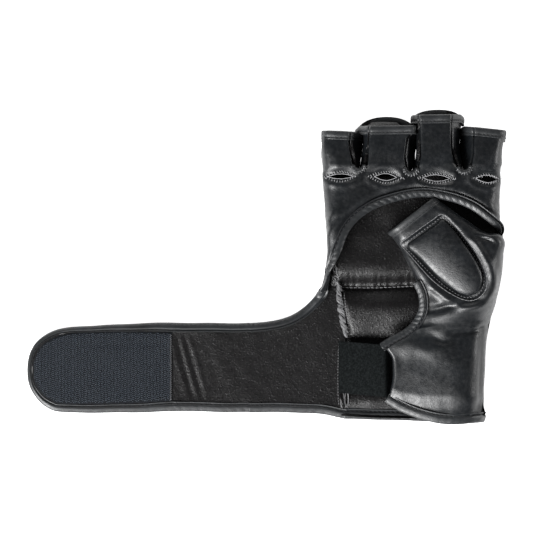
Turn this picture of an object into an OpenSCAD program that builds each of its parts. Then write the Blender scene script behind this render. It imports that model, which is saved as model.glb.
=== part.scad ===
// Right-hand MMA training glove, open on its back with the palm up and the wrist strap spread out.
// +X points to the thumb side, +Y to the fingertips and +Z out of the palm. The origin is on the
// resting plane, under the middle of the palm. Soft pieces that bend are divided at their bend line.

/* [Hand] */
// Width of the glove across the knuckles
hand_w = 118; // [116:1:120]
// Distance from the middle of the palm to the line that the fingers bend about
crease_y = 69; // [68:1:71]
// Distance from the middle of the palm to the wrist edge
wrist_y = 94; // [92:1:96]
// Height of the palm leather above the resting plane
palm_z = 28; // [27:1:30]
// Height of the leather over the wrist
wrist_z = 21.5; // [20:0.5:21.5]
// Height of the leather over the root of the thumb
thenar_z = 30; // [29:0.5:30]

/* [Layers] */
// Thickness of the leather
skin = 1.5; // [1.2:0.1:1.6]
// Thickness of the foam over the knuckles and fingers
foam_t = 9.5; // [8:0.5:9.5]
// Thickness of the foam over the wrist
wrist_foam_t = 7; // [5:0.5:7]
// Thickness of the lining cloth
lining_t = 1; // [0.6:0.1:1]
// Width of the leather binding on the edges
binding_w = 4.6; // [4:0.2:5]

/* [Fingers] */
// Length of the little finger's tube, from the bend line
little_len = 26; // [24:1:28]
// Length of the ring finger's tube
ring_len = 28; // [26:1:30]
// Length of the middle finger's tube
middle_len = 36; // [34:1:38]
// Length of the index finger's tube
index_len = 28.5; // [26:0.5:30]
// How far the back of the ring finger's tube stands past its palm side
ring_overhang = 7; // [3:1:7]
// How far the back of the middle finger's tube stands past its palm side
middle_overhang = 3.5; // [1:0.5:4]

/* [Thumb] */
// Angle between the thumb and the fingers, in degrees
thumb_angle = 37.6; // [36:0.2:38]
// Length of the thumb sleeve, from the line that it bends about
thumb_len = 39; // [36:1:40]
// Height of the thumb's hollow
thumb_hollow = 12; // [11:0.5:12]
// Thickness of the pad on the thumb
thumb_pad_t = 5.5; // [4:0.5:6]

/* [Strap] */
// Width of the strap
strap_w = 60; // [58:1:61]
// Distance from the middle of the palm to the strap's tip
strap_reach = 254; // [246:1:260]
// Length of the hook patch on the strap's tip
hook_len = 93; // [84:1:93]
// Thickness of the strap without the hook patch
strap_t = 4; // [3.6:0.1:4.2]

/* [Hidden] */

LEATHER = "#2b2c2f";
BINDING = "#3a3b3e";
LINING = "#221f22";
FOAM = "#4a4a4a";
HOOK = "#1f2530";
LOOP = "#26262a";
ELASTIC = "#17181a";

half_w = hand_w / 2;
foam_top = skin + foam_t;
pad_top = foam_top + lining_t;
wrist_pad_top = skin + wrist_foam_t + lining_t;
gap = 0.5;          // clearance between neighbouring soft parts
bind_r = binding_w / 2;

// Places of the strap's two bend lines and of its edges
fold_x = -58;       // the strap folds over the palm side of the wrist here
wrap_x = -156.5;      // the strap turns round the thumb side of the wrist here
strap_low = -92.4;
strap_high = strap_low + strap_w;
strap_z = 0.3;
fillet_r = 27.7;
fillet_c = [fold_x - fillet_r, strap_high + fillet_r];
seam_x = -47.3;     // the strap's lining is sewn to the hand's lining here
panel_x = -16;      // free edge of the leather over the wrist

// Places on the hand
cut_front = 1;      // the padding is quilted between these two lines
cut_back = -8;
front_y = crease_y - 2.5;
root_y = crease_y + 1;

// Thumb frame: local +Y runs along the thumb, and local X is the line that the sleeve bends about
thumb_at = [29.8, 9.9];
sleeve_root = [-32, 28];
sleeve_tip = [-25, 11.5];
hem_len = 5;
sleeve_low = thenar_z - skin - thumb_hollow - skin;

// Finger rows: back from, back to, palm from, palm to, length, overhang
LITTLE = [-half_w - 1, -34.6, -half_w + 0.2, -41.6, little_len, 0];
RING = [-34.1, -0.6, -28.4, -5.3, ring_len, ring_overhang];
MIDDLE = [-0.1, 33, 4.6, 25.7, middle_len, middle_overhang];
INDEX = [33.5, half_w + 1.5, 40.9, half_w, index_len, 0];

function flat(rows) = [for (row = rows) for (p = row) p];
function arc(c, r, from, to, n) =
    [for (i = [0 : n]) c + r * [cos(from + (to - from) * i / n), sin(from + (to - from) * i / n)]];
function unit(v) = v / norm(v);
function lerp(a, b, t) = a + (b - a) * t;

// Smooth curve through the points of p, with n steps between each two
function curve_at(a, b, c, d, t) =
    0.5 * (2 * b + (c - a) * t + (2 * a - 5 * b + 4 * c - d) * t * t
    + (3 * b - a - 3 * c + d) * t * t * t);
function curve(p, n = 4) = concat(
    [for (i = [0 : len(p) - 2], s = [0 : n - 1])
        curve_at(p[max(i - 1, 0)], p[i], p[i + 1], p[min(i + 2, len(p) - 1)], s / n)],
    [p[len(p) - 1]]);

// Straight-line table: the second value of each row, at x
function table(rows, x) =
    x <= rows[0][0] ? rows[0][1] :
    x >= rows[len(rows) - 1][0] ? rows[len(rows) - 1][1] :
    [for (i = [0 : len(rows) - 2]) if (x >= rows[i][0] && x < rows[i + 1][0])
        lerp(rows[i][1], rows[i + 1][1], (x - rows[i][0]) / (rows[i + 1][0] - rows[i][0]))][0];

// Two triangles for the four corners a, b, c, d
function quad(a, b, c, d) = [[a, b, c], [a, c, d]];

// Solid between two grids of points with the same rows and columns. A closed grid joins up round
// its columns, as a sleeve does.
module grid_solid(outer, inner, closed = false) {
    m = len(outer);
    n = len(outer[0]);
    o = m * n;
    cols = closed ? n : n - 1;
    id = function (i, j) i * n + j % n;
    polyhedron(
        points = concat(flat(outer), flat(inner)),
        faces = flat(concat(
            [for (i = [0 : m - 2], j = [0 : cols - 1])
                quad(id(i, j), id(i, j + 1), id(i + 1, j + 1), id(i + 1, j))],
            [for (i = [0 : m - 2], j = [0 : cols - 1])
                quad(o + id(i, j), o + id(i + 1, j), o + id(i + 1, j + 1), o + id(i, j + 1))],
            [for (j = [0 : cols - 1])
                quad(id(0, j + 1), id(0, j), o + id(0, j), o + id(0, j + 1))],
            [for (j = [0 : cols - 1])
                quad(id(m - 1, j), id(m - 1, j + 1), o + id(m - 1, j + 1), o + id(m - 1, j))],
            [for (i = [0 : m - 2]) if (!closed)
                quad(id(i, 0), id(i + 1, 0), o + id(i + 1, 0), o + id(i, 0))],
            [for (i = [0 : m - 2]) if (!closed)
                quad(id(i + 1, n - 1), id(i, n - 1), o + id(i, n - 1), o + id(i + 1, n - 1))]
        )),
        convexity = 6
    );
}

// Round bar of radius r along a path of points
module bar(path, r, sides = 8) {
    m = len(path);
    along = [for (i = [0 : m - 1]) unit(path[min(i + 1, m - 1)] - path[max(i - 1, 0)])];
    across = [for (t = along) unit(cross(t, [0, 0, 1]))];
    rings = [for (i = [0 : m - 1]) [for (k = [0 : sides - 1])
        path[i] + r * (cos(360 * k / sides) * across[i]
        + sin(360 * k / sides) * cross(across[i], along[i]))]];
    id = function (i, j) i * sides + j % sides;
    polyhedron(
        points = flat(rings),
        faces = concat(
            flat([for (i = [0 : m - 2], j = [0 : sides - 1])
                quad(id(i, j), id(i, j + 1), id(i + 1, j + 1), id(i + 1, j))]),
            [[for (j = [sides - 1 : -1 : 0]) id(0, j)]],
            [[for (j = [0 : sides - 1]) id(m - 1, j)]]
        ),
        convexity = 6
    );
}

// Slab of a side-view outline (y, z), from x0 to x1
module side_slab(outline, x0, x1) {
    translate([x0, 0, 0]) rotate([90, 0, 90]) linear_extrude(x1 - x0) polygon(outline);
}

// Slab of an end-view outline (x, z), from y0 to y1
module end_slab(outline, y0, y1) {
    translate([0, y1, 0]) rotate([90, 0, 0]) linear_extrude(y1 - y0) polygon(outline);
}

module plate(outline, z0, z1) {
    translate([0, 0, z0]) linear_extrude(z1 - z0) polygon(outline);
}

module block(x, y, z) {
    translate([x[0], y[0], z[0]]) cube([x[1] - x[0], y[1] - y[0], z[1] - z[0]]);
}

// ---------------------------------------------------------------- back of the hand

right_edge = curve([
    [half_w - 0.8, crease_y - 1], [half_w - 1.6, 40], [half_w + 2.2, 24.4],
    [half_w + 1.1, 4.6], [54.8, -19.8], [49.5, -46.2], [48, -80], [48, -wrist_y]
]);

module back_leather() {
    color(LEATHER) difference() {
        plate(concat(right_edge, [
            [seam_x, -wrist_y], [fold_x + 0.3, strap_low], [fold_x + 0.3, -12],
            [-half_w + 1, 0], [-half_w + 0.5, crease_y - 1]
        ]), 0, skin);
        block([-54.2, 34.2], [-86.2, -37.8], [-1, 0.9]);
    }
}

module loop_patch() {
    color(LOOP) block([-54, 34], [-86, -38], [0, 0.9]);
}

module knuckle_foam() {
    color(FOAM) plate([
        [-54, 34.5], [-55, front_y], [55, front_y], [54, 34.5]
    ], skin, foam_top);
}

module back_hand_foam() {
    color(FOAM) plate([
        [-53, cut_front], [-54, 33.5], [54, 33.5], [55, cut_front]
    ], skin, foam_top);
}

module wrist_foam() {
    color(FOAM) plate([
        [-45, 3 - wrist_y], [-45, cut_back - 1], [52, cut_back - 1],
        [46, -44], [45, 3 - wrist_y]
    ], skin, skin + wrist_foam_t);
}

// The lining lies on the foam and is sewn down to the leather along the quilting line
module hand_lining() {
    top = [
        [front_y, pad_top], [cut_front, pad_top], [cut_front - 2, 5],
        [cut_back + 2, 5], [cut_back - 1, wrist_pad_top], [3 - wrist_y, wrist_pad_top]
    ];
    low = [for (i = [len(top) - 1 : -1 : 0]) top[i] - [0, lining_t]];
    color(LINING) intersection() {
        side_slab(concat(top, low), -55, 55);
        plate([
            [-45, 3 - wrist_y], [-45, -1.5], [-53, cut_front], [-55, front_y],
            [55, front_y], [55, cut_front], [52, cut_back - 1], [46, -44],
            [45, 3 - wrist_y]
        ], 0, palm_z);
    }
}

module strap_root_lining() {
    color(LINING) plate([
        [fold_x + 0.3, strap_low + binding_w], [seam_x - 1.5, strap_low + binding_w],
        [seam_x - 1.5, -14], [fold_x + 0.3, -22]
    ], skin, strap_z + strap_t);
}

// Standing seam allowance where the strap's lining meets the hand's lining
module strap_seam() {
    color(ELASTIC) block([seam_x - 1.5, seam_x + 1.5], [4 - wrist_y, -2], [skin, 10]);
}

// ---------------------------------------------------------------- palm side

cut_edge = curve([
    [half_w - 0.5, 33.5], [52.5, 35.6], [39.5, 45.2], [18.5, 53.5], [2, 56.4],
    [-17.8, 53.5], [-37.6, 42.9], [-48.8, 28.4], [-half_w + 0.5, 12]
]);

// Pointed oval of length w and height h
module vent(x, w, h) {
    r = (w * w / 4 + h * h / 4) / h;
    translate([x, 63.8, palm_z - 2 * skin]) linear_extrude(3 * skin) intersection() {
        translate([0, r - h / 2]) circle(r, $fn = 96);
        translate([0, h / 2 - r]) circle(r, $fn = 96);
    }
}

module palm_leather() {
    color(LEATHER) difference() {
        union() {
            plate(concat(cut_edge, [
                [-half_w + 0.5, front_y], [half_w - 0.5, front_y]
            ]), palm_z - skin, palm_z);
            side_slab([
                [front_y, skin], [front_y, palm_z], [30, palm_z], [12, 20], [-2, 13],
                [-10, 8], [-10, skin]
            ], -half_w + 0.5, -half_w + 0.5 + skin);
            side_slab([
                [front_y, skin], [front_y, palm_z], [31, palm_z], [31, skin]
            ], half_w - 0.5 - skin, half_w - 0.5);
        }
        for (x = [-47, -19.5, 13, 44]) vent(x, 17, 5.5);
    }
}

// The edge of the palm opening: level across the palm, then down the little-finger side
palm_path = curve([
    [half_w - 1.6, 31.2, palm_z - 3], [50.5, 34.2, palm_z - 1], [38.2, 43.2, palm_z - 0.7],
    [17.5, 51.4, palm_z - 0.7], [2, 54.2, palm_z - 0.7], [-17, 51.4, palm_z - 0.7],
    [-36, 41.2, palm_z - 1], [-46.6, 27.4, palm_z - 3], [-53, 12.5, 20],
    [-56, -2, 13], [fold_x + 1.6, -12, 7.5]
]);

module palm_binding() {
    color(BINDING) bar(palm_path, bind_r - 0.2);
}

// Cross-section of the leather over the thumb side, at y, drawn d inside its outer face
roof_rows = [
    [-wrist_y, wrist_z - 1.5], [-80, wrist_z], [-46, wrist_z], [-37, wrist_z + 0.3],
    [-31, wrist_z + 1.8], [-12, thenar_z]
];
left_rows = [
    [-wrist_y, panel_x + 3], [-84, panel_x], [-46, panel_x], [-33, 3], [-20, 8.5],
    [-9.6, 5.4], [26, 51.7]
];
right_rows = [[-wrist_y, 48], [-46, 49.5], [-20, 54.8], [4.6, half_w + 1.1], [26, half_w + 2]];
edge_r = 12;
function roof_row(y, d) =
    let (
        top = table(roof_rows, y),
        left = table(left_rows, y),
        right = table(right_rows, y),
        r = min(edge_r, right - left - 1),
        c = [right - r, top - r],
        rise = arc(c, r - d, 90, 0, 5)
    )
    concat(
        [for (t = [0 : 0.25 : 0.75]) [lerp(left, c[0], t), y, top - d - 2 * pow(1 - t, 4)]],
        [for (p = rise) [p[0], y, p[1]]],
        [[right - d, y, skin]]
    );
roof_stations = [-wrist_y, -84, -60, -46, -38, -31, -20, -12, -6, 2, 10, 18, 26];

module thumb_side_leather() {
    color(LEATHER) grid_solid(
        [for (y = roof_stations) roof_row(y, 0)],
        [for (y = roof_stations) roof_row(y, skin)]
    );
}

module thumb_side_binding() {
    color(BINDING) bar(curve([
        [panel_x + 1, -45, wrist_z - 2], [-4, -38, wrist_z - 0.8], [5, -31, wrist_z - 0.5],
        [8.6, -22, 25], [7, -14, thenar_z - 3]
    ]), bind_r - 0.4);
}

module wrist_binding() {
    color(BINDING) bar(curve([
        [panel_x + 1, -81, wrist_z - 3.5], [-10, -88, wrist_z - 3], [6, -wrist_y + 1, wrist_z - 2.4],
        [34, -wrist_y, wrist_z - 2.2], [44, -wrist_y, wrist_z - 7], [46.5, -wrist_y, 8]
    ]), bind_r - 0.4);
}

module back_wrist_binding() {
    color(BINDING) bar(curve([
        [48, -wrist_y - 0.5, bind_r], [0, -wrist_y - 0.3, bind_r], [seam_x, -wrist_y, bind_r],
        [fold_x + 0.3, strap_low + 0.6, bind_r]
    ]), bind_r);
}

// The elastic runs from the seam to the inside of the leather over the wrist
module wrist_elastic() {
    left = seam_x - 1.5;
    t = 1.2;
    right = panel_x + 4;
    z = wrist_z - 5.2;
    color(ELASTIC) end_slab([
        [left, 10], [left + 3, 10], [right - 2, z], [right, z], [right, z + t],
        [right - 2, z + t], [left + 3, 10 + t], [left, 10 + t]
    ], -80, -45);
}

// ---------------------------------------------------------------- thumb

module in_thumb_frame() {
    translate([thumb_at[0], thumb_at[1], 0]) rotate([0, 0, thumb_angle]) children();
}

// Outline of the stitched pad: square at the tip, round at the root
pad_outline = curve([
    [10, 30], [10, 9], [9, -10], [6, -22], [-1, -27.5], [-9.5, -25.5], [-15, -15], [-18, -3],
    [-20, 10], [-22, 29.5]
]);

module thumb_pad_part(from, to) {
    color(LEATHER) in_thumb_frame() intersection() {
        hull() {
            plate(pad_outline, thenar_z, thenar_z + 2.5);
            plate([for (p = pad_outline) lerp([-5, 3], p, 0.86)], thenar_z, thenar_z + thumb_pad_t);
        }
        block([-40, 40], [from, to], [0, 60]);
    }
}

module thumb_pad_base() {
    thumb_pad_part(-40, -0.5);
}

module thumb_pad_tip() {
    thumb_pad_part(4, 40);
}

// Ring of points round the sleeve at u along it, drawn d inside its outer face
function sleeve_row(u, d) =
    let (
        t = u / thumb_len,
        x0 = lerp(sleeve_root[0], sleeve_tip[0], t) + d,
        x1 = lerp(sleeve_root[1], sleeve_tip[1], t) - d,
        z0 = lerp(sleeve_low, sleeve_low + 1, t) + d,
        z1 = thenar_z - d,
        c = [(x0 + x1) / 2, (z0 + z1) / 2],
        h = [(x1 - x0) / 2, (z1 - z0) / 2]
    )
    [for (k = [0 : 19]) let (a = 18 * k)
        [c[0] + h[0] * sign(cos(a)) * pow(abs(cos(a)), 0.5),
         u,
         c[1] + h[1] * sign(sin(a)) * pow(abs(sin(a)), 0.5)]];

module thumb_sleeve() {
    stations = [0.3, 12, 24, thumb_len - hem_len];
    color(LEATHER) in_thumb_frame() grid_solid(
        [for (u = stations) sleeve_row(u, 0)],
        [for (u = stations) sleeve_row(u, skin)],
        closed = true
    );
}

module thumb_binding() {
    stations = [thumb_len - hem_len, thumb_len];
    color(BINDING) in_thumb_frame() grid_solid(
        [for (u = stations) sleeve_row(u, -0.8)],
        [for (u = stations) sleeve_row(u, skin)],
        closed = true
    );
}

// ---------------------------------------------------------------- fingers

// Side view of a finger's mouth: the palm side stands back from the back by the overhang
function mouth(f, inset) =
    let (y = crease_y + f[4] - inset)
    [[root_y, 0], [root_y, palm_z + 2], [y, palm_z + 2], [y, palm_z], [y + f[5], 0]];

module finger_leather(f) {
    color(LEATHER) intersection() {
        block([f[0], f[1]], [root_y, 200], [0, skin]);
        side_slab(mouth(f, hem_len), -100, 100);
    }
}

module finger_foam(f) {
    color(FOAM) intersection() {
        block([f[0] + gap, f[1] - gap], [root_y, 200], [skin, foam_top]);
        side_slab(mouth(f, hem_len), -100, 100);
    }
}

module finger_lining(f) {
    color(LINING) intersection() {
        block([f[0] + gap, f[1] - gap], [root_y, 200], [foam_top, pad_top]);
        side_slab(mouth(f, hem_len), -100, 100);
    }
}

// Arch of leather over the finger: broad where it meets the pad, narrow on the palm side
function arch(f, d) = [
    [f[0] + 1.3 + d, pad_top], [f[2] + d, palm_z - d], [f[3] - d, palm_z - d], [f[1] - 1.3 - d, pad_top]
];

module finger_loop(f) {
    color(LEATHER) intersection() {
        end_slab(concat(arch(f, 0), [for (i = [3 : -1 : 0]) arch(f, skin)[i]]), root_y, 200);
        side_slab(mouth(f, hem_len), -100, 100);
    }
}

// The binding is a closed band that caps the pad and the arch at the mouth
module finger_binding(f) {
    color(BINDING) difference() {
        intersection() {
            end_slab([
                [f[0], strap_z], [f[0], pad_top], [f[2] - 0.4, palm_z + 0.8],
                [f[3] + 0.4, palm_z + 0.8], [f[1], pad_top], [f[1], strap_z]
            ], root_y, 200);
            side_slab(mouth(f, 0), -100, 100);
        }
        side_slab(mouth(f, hem_len), -200, 200);
        end_slab(arch(f, skin), root_y, 300);
    }
}

// Strip between two fingers, from the padding up to the palm leather
module web(from, to) {
    color(LEATHER) block([from, to], [front_y, front_y + 1.4], [skin, palm_z]);
}

// ---------------------------------------------------------------- strap

// Upper edge of the strap, d inside it: straight, then curved up into the side of the hand
function strap_upper(d, to_x) = concat(
    [[to_x, strap_high - d]],
    arc(fillet_c, fillet_r + d, -90, -14, 8)
);
base_left = wrap_x + 0.3;
base_right = fold_x - 0.3;

module strap_layer(z0, z1) {
    intersection() {
        plate(concat(strap_upper(binding_w, base_left), [
            [-40, strap_high], [-40, strap_low + binding_w], [base_left, strap_low + binding_w]
        ]), z0, z1);
        block([base_left, base_right], [-100, 0], [0, 10]);
    }
}

module strap_leather() {
    color(LEATHER) strap_layer(strap_z, strap_z + skin);
}

module strap_lining() {
    color(LINING) strap_layer(strap_z + skin, strap_z + strap_t);
}

module strap_binding_upper() {
    outer = strap_upper(0, base_left);
    inner = strap_upper(binding_w, base_left);
    color(BINDING) intersection() {
        plate(concat(outer, [for (i = [len(inner) - 1 : -1 : 0]) inner[i]]), strap_z,
            strap_z + strap_t + 0.4);
        block([base_left, base_right], [-100, 0], [0, 10]);
    }
}

module strap_binding_lower() {
    color(BINDING) block([base_left, base_right], [strap_low, strap_low + binding_w],
        [strap_z, strap_z + strap_t + 0.4]);
}

// Outline of the strap's rounded tip, d inside it
function tip_outline(d) =
    let (r1 = 24 - d, r2 = 18 - d, x = -strap_reach + d, hi = strap_high - d, lo = strap_low + d)
    concat(
        [[wrap_x - 0.3, lo], [wrap_x - 0.3, hi]],
        arc([x + r1, hi - r1], r1, 90, 180, 8),
        arc([x + r2, lo + r2], r2, 180, 270, 8)
    );

module strap_end_leather() {
    color(LEATHER) plate(tip_outline(binding_w), strap_z, strap_z + skin);
}

module strap_end_lining() {
    color(LINING) plate(tip_outline(binding_w), strap_z + skin, strap_z + strap_t);
}

module strap_end_binding() {
    color(BINDING) difference() {
        plate(tip_outline(0), strap_z, strap_z + strap_t + 0.4);
        plate(concat(
            [[wrap_x + 5, strap_low + binding_w], [wrap_x + 5, strap_high - binding_w]],
            [for (i = [2 : len(tip_outline(0)) - 1]) tip_outline(binding_w)[i]]
        ), 0, 20);
    }
}

module hook_patch() {
    right = -strap_reach + 3 + hook_len;
    color(HOOK) intersection() {
        plate(tip_outline(binding_w - 1.2), strap_z + strap_t + 0.4, strap_z + strap_t + 1.4);
        block([-300, right], [-200, 200], [0, 20]);
    }
}

// ---------------------------------------------------------------- the nodes

back_leather();
loop_patch();
knuckle_foam();
back_hand_foam();
wrist_foam();
hand_lining();
strap_root_lining();
strap_seam();
palm_leather();
palm_binding();
thumb_side_leather();
thumb_side_binding();
wrist_binding();
back_wrist_binding();
wrist_elastic();
thumb_pad_base();
web(-40.5, -29.5);  // web_little_ring
web(-5, 4.4);  // web_ring_middle
web(26, 40.6);  // web_middle_index
finger_leather(LITTLE);  // little_leather
finger_foam(LITTLE);  // little_foam
finger_lining(LITTLE);  // little_lining
finger_loop(LITTLE);  // little_loop
finger_binding(LITTLE);  // little_binding
finger_leather(RING);  // ring_leather
finger_foam(RING);  // ring_foam
finger_lining(RING);  // ring_lining
finger_loop(RING);  // ring_loop
finger_binding(RING);  // ring_binding
finger_leather(MIDDLE);  // middle_leather
finger_foam(MIDDLE);  // middle_foam
finger_lining(MIDDLE);  // middle_lining
finger_loop(MIDDLE);  // middle_loop
finger_binding(MIDDLE);  // middle_binding
finger_leather(INDEX);  // index_leather
finger_foam(INDEX);  // index_foam
finger_lining(INDEX);  // index_lining
finger_loop(INDEX);  // index_loop
finger_binding(INDEX);  // index_binding
thumb_sleeve();
thumb_binding();
thumb_pad_tip();
strap_leather();
strap_lining();
strap_binding_upper();
strap_binding_lower();
strap_end_leather();
strap_end_lining();
strap_end_binding();
hook_patch();
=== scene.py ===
import math
import random

import bmesh
import bpy
import numpy as np
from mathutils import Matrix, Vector, noise
from mathutils.bvhtree import BVHTree
from mathutils.geometry import delaunay_2d_cdt

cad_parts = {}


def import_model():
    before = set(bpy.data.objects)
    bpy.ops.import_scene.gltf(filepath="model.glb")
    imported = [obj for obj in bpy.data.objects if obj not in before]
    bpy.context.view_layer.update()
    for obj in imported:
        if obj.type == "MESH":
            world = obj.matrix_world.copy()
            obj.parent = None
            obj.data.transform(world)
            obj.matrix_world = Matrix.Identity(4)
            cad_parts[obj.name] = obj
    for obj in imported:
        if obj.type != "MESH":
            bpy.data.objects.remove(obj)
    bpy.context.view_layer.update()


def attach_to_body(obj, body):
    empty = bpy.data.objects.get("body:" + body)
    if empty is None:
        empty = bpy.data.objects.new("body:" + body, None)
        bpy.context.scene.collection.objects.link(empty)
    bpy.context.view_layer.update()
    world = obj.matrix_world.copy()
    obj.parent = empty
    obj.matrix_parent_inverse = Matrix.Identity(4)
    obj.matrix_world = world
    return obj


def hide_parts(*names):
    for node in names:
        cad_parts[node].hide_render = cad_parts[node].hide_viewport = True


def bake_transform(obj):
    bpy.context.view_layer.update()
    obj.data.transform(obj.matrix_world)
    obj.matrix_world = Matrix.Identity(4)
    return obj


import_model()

# Lengths are in millimetres until make() writes them as metres
MM = 0.001
random.seed(11)
rng = np.random.default_rng(11)
scene = bpy.context.scene
scene.view_settings.view_transform = "Standard"

# ---------------------------------------------------------------- camera, floor and light

# The camera looks straight down from far away, at a point halfway up the glove
CENTRE = (-0.096, 0.0056, 0.015)
DISTANCE, VIEW_WIDTH, SENSOR = 4.0, 0.3518, 36
camera = bpy.data.objects.new("camera", bpy.data.cameras.new("camera"))
camera.location = Vector(CENTRE) + Vector((0, 0, DISTANCE))
camera.data.sensor_width = SENSOR
camera.data.lens = SENSOR * DISTANCE / VIEW_WIDTH
camera.data.clip_end = 20
camera.data.dof.use_dof = False
scene.collection.objects.link(camera)
scene.camera = camera
# What the lamps face, in metres
LIT = (-0.05, 0, 0.01)


def lamp(name, place, size, watts):
    """A soft rectangular lamp that faces the middle of the glove."""
    data = bpy.data.lights.new(name, "AREA")
    data.shape = "RECTANGLE"
    data.size, data.size_y, data.energy = size[0], size[1], watts
    obj = bpy.data.objects.new(name, data)
    obj.location = place
    obj.rotation_euler = (Vector(LIT) - Vector(place)).to_track_quat("-Z", "Y").to_euler()
    scene.collection.objects.link(obj)


lamp("key", (-1.02, -1.22, 1.04), (1.2, 0.9), 92)
lamp("fill_top", (-0.3, 1.6, 0.62), (1.5, 0.45), 12)
lamp("fill_right", (1.5, 0.1, 0.60), (0.9, 0.4), 12)
scene.world = bpy.data.worlds.new("world")
scene.world.use_nodes = True
scene.world.node_tree.nodes["Background"].inputs["Color"].default_value = (1, 1, 1, 1)
scene.world.node_tree.nodes["Background"].inputs["Strength"].default_value = 0.08

# ---------------------------------------------------------------- materials


def material(name, colour, rough, **more):
    """A principled material; more holds values for other sockets by name."""
    m = bpy.data.materials.new(name)
    m.use_nodes = True
    shader = m.node_tree.nodes["Principled BSDF"]
    shader.inputs["Base Color"].default_value = (*colour, 1)
    shader.inputs["Roughness"].default_value = rough
    for key, value in more.items():
        shader.inputs[key.replace("_", " ")].default_value = value
    return m


def texture(m, kind, scale, **values):
    """A texture node in object space, scale in repeats for each metre."""
    nodes, links = m.node_tree.nodes, m.node_tree.links
    space = nodes.get("space") or nodes.new("ShaderNodeTexCoord")
    space.name = "space"
    t = nodes.new(kind)
    t.inputs["Scale"].default_value = scale
    for key, value in values.items():
        t.inputs[key].default_value = value
    links.new(space.outputs["Object"], t.inputs["Vector"])
    return t


def bump(m, source, depth, strength=1.0):
    """Adds a bump, in mm, on top of those that are there."""
    nodes, links = m.node_tree.nodes, m.node_tree.links
    b = nodes.new("ShaderNodeBump")
    b.inputs["Distance"].default_value = depth * MM
    b.inputs["Strength"].default_value = strength
    shader = nodes["Principled BSDF"]
    if shader.inputs["Normal"].is_linked:
        links.new(shader.inputs["Normal"].links[0].from_socket, b.inputs["Normal"])
    links.new(source, b.inputs["Height"])
    links.new(b.outputs["Normal"], shader.inputs["Normal"])


def ramp(m, source, stops, socket):
    """source goes through colour stops [(place, colour), ...] to the shader's socket."""
    r = m.node_tree.nodes.new("ShaderNodeValToRGB")
    for i, (place, colour) in enumerate(stops):
        e = r.color_ramp.elements[i] if i < 2 else r.color_ramp.elements.new(place)
        e.position, e.color = place, (*colour, 1)
    m.node_tree.links.new(source, r.inputs["Fac"])
    m.node_tree.links.new(r.outputs["Color"], m.node_tree.nodes["Principled BSDF"].inputs[socket])


def grey(v):
    return (v, v, v)


def leather_material(name, colour, rough):
    m = material(name, colour, rough, Specular_IOR_Level=0.5)
    grain = texture(m, "ShaderNodeTexVoronoi", 1500)
    soft = texture(m, "ShaderNodeTexNoise", 420, Detail=3.0)
    wide = texture(m, "ShaderNodeTexNoise", 60, Detail=3.0)
    tint = [c * 0.72 for c in colour], [c * 1.35 for c in colour]
    ramp(m, wide.outputs["Fac"], [(0.3, tint[0]), (0.7, tint[1])], "Base Color")
    ramp(m, soft.outputs["Fac"], [(0.3, grey(rough - 0.07)), (0.7, grey(rough + 0.09))], "Roughness")
    bump(m, grain.outputs["Distance"], 0.07, 0.8)
    bump(m, soft.outputs["Fac"], 0.12, 0.5)
    return m


def cloth_material(name, dark, light, speck, rough, sheen, depth, gloss=0.5):
    """Speckled cloth: light specks, speck of them in a metre, and depth mm high."""
    m = material(name, dark, rough, Sheen_Weight=sheen, Sheen_Roughness=0.5, Specular_IOR_Level=gloss)
    m.node_tree.nodes["Principled BSDF"].inputs["Sheen Tint"].default_value = (0.7, 0.68, 0.68, 1)
    specks = texture(m, "ShaderNodeTexNoise", speck, Detail=2.0, Roughness=0.8)
    ramp(m, specks.outputs["Fac"], [(0.42, dark), (0.66, light)], "Base Color")
    ramp(m, specks.outputs["Fac"], [(0.35, grey(rough + 0.12)), (0.65, grey(rough - 0.1))], "Roughness")
    bump(m, specks.outputs["Fac"], depth, 0.9)
    return m


LEATHER = leather_material("leather", (0.0040, 0.0050, 0.0062), 0.385)
BINDING = leather_material("binding_leather", (0.0115, 0.0128, 0.0142), 0.42)
HEM = leather_material("hem_leather", (0.0135, 0.0148, 0.0162), 0.45)
LINING = cloth_material("lining_cloth", (0.0008, 0.0007, 0.0008), (0.0083, 0.0075, 0.0080),
                        speck=850, rough=0.355, sheen=0.0, depth=0.42, gloss=0.38)
ELASTIC = cloth_material("elastic", (0.0018, 0.0026, 0.0028), (0.0085, 0.0105, 0.0110),
                         speck=900, rough=0.85, sheen=0.0, depth=0.2, gloss=0.1)
TAPE = cloth_material("hook_tape", (0.0010, 0.0017, 0.0030), (0.0040, 0.0062, 0.0098),
                      speck=700, rough=0.7, sheen=0.0, depth=0.2, gloss=0.2)
HOOKS = material("hook_nylon", (0.098, 0.120, 0.150), 0.34)
LOOP = cloth_material("loop_tape", (0.010, 0.010, 0.012), (0.035, 0.035, 0.040),
                      speck=900, rough=0.9, sheen=0.5, depth=0.5)
DARK_THREAD = material("dark_thread", (0.006, 0.006, 0.007), 0.6)
GREY_THREAD = material("grey_thread", (0.16, 0.16, 0.165), 0.5)
# Pale thread: partly the thread's own grey, partly a painted glint that stands in for highlights on glossy
# dark thread
PALE_GLINT_THREAD = material("pale_thread_painted_glint", (0.34, 0.34, 0.35), 0.5)

# ---------------------------------------------------------------- curves and meshes


def even(line, step):
    """Evenly spaced points along a line of points."""
    run = [0.0]
    for a, b in zip(line, line[1:]):
        run.append(run[-1] + (b - a).length)
    n = max(2, round(run[-1] / step))
    out, j = [], 0
    for k in range(n + 1):
        s = run[-1] * k / n
        while j < len(line) - 2 and run[j + 1] < s:
            j += 1
        out.append(line[j].lerp(line[j + 1], min(1, (s - run[j]) / max(run[j + 1] - run[j], 1e-9))))
    return out


def catmull(a, b, c, d, t):
    return 0.5 * (2 * b + (c - a) * t + (2 * a - 5 * b + 4 * c - d) * t * t
                  + (3 * b - a - 3 * c + d) * t * t * t)


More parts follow.
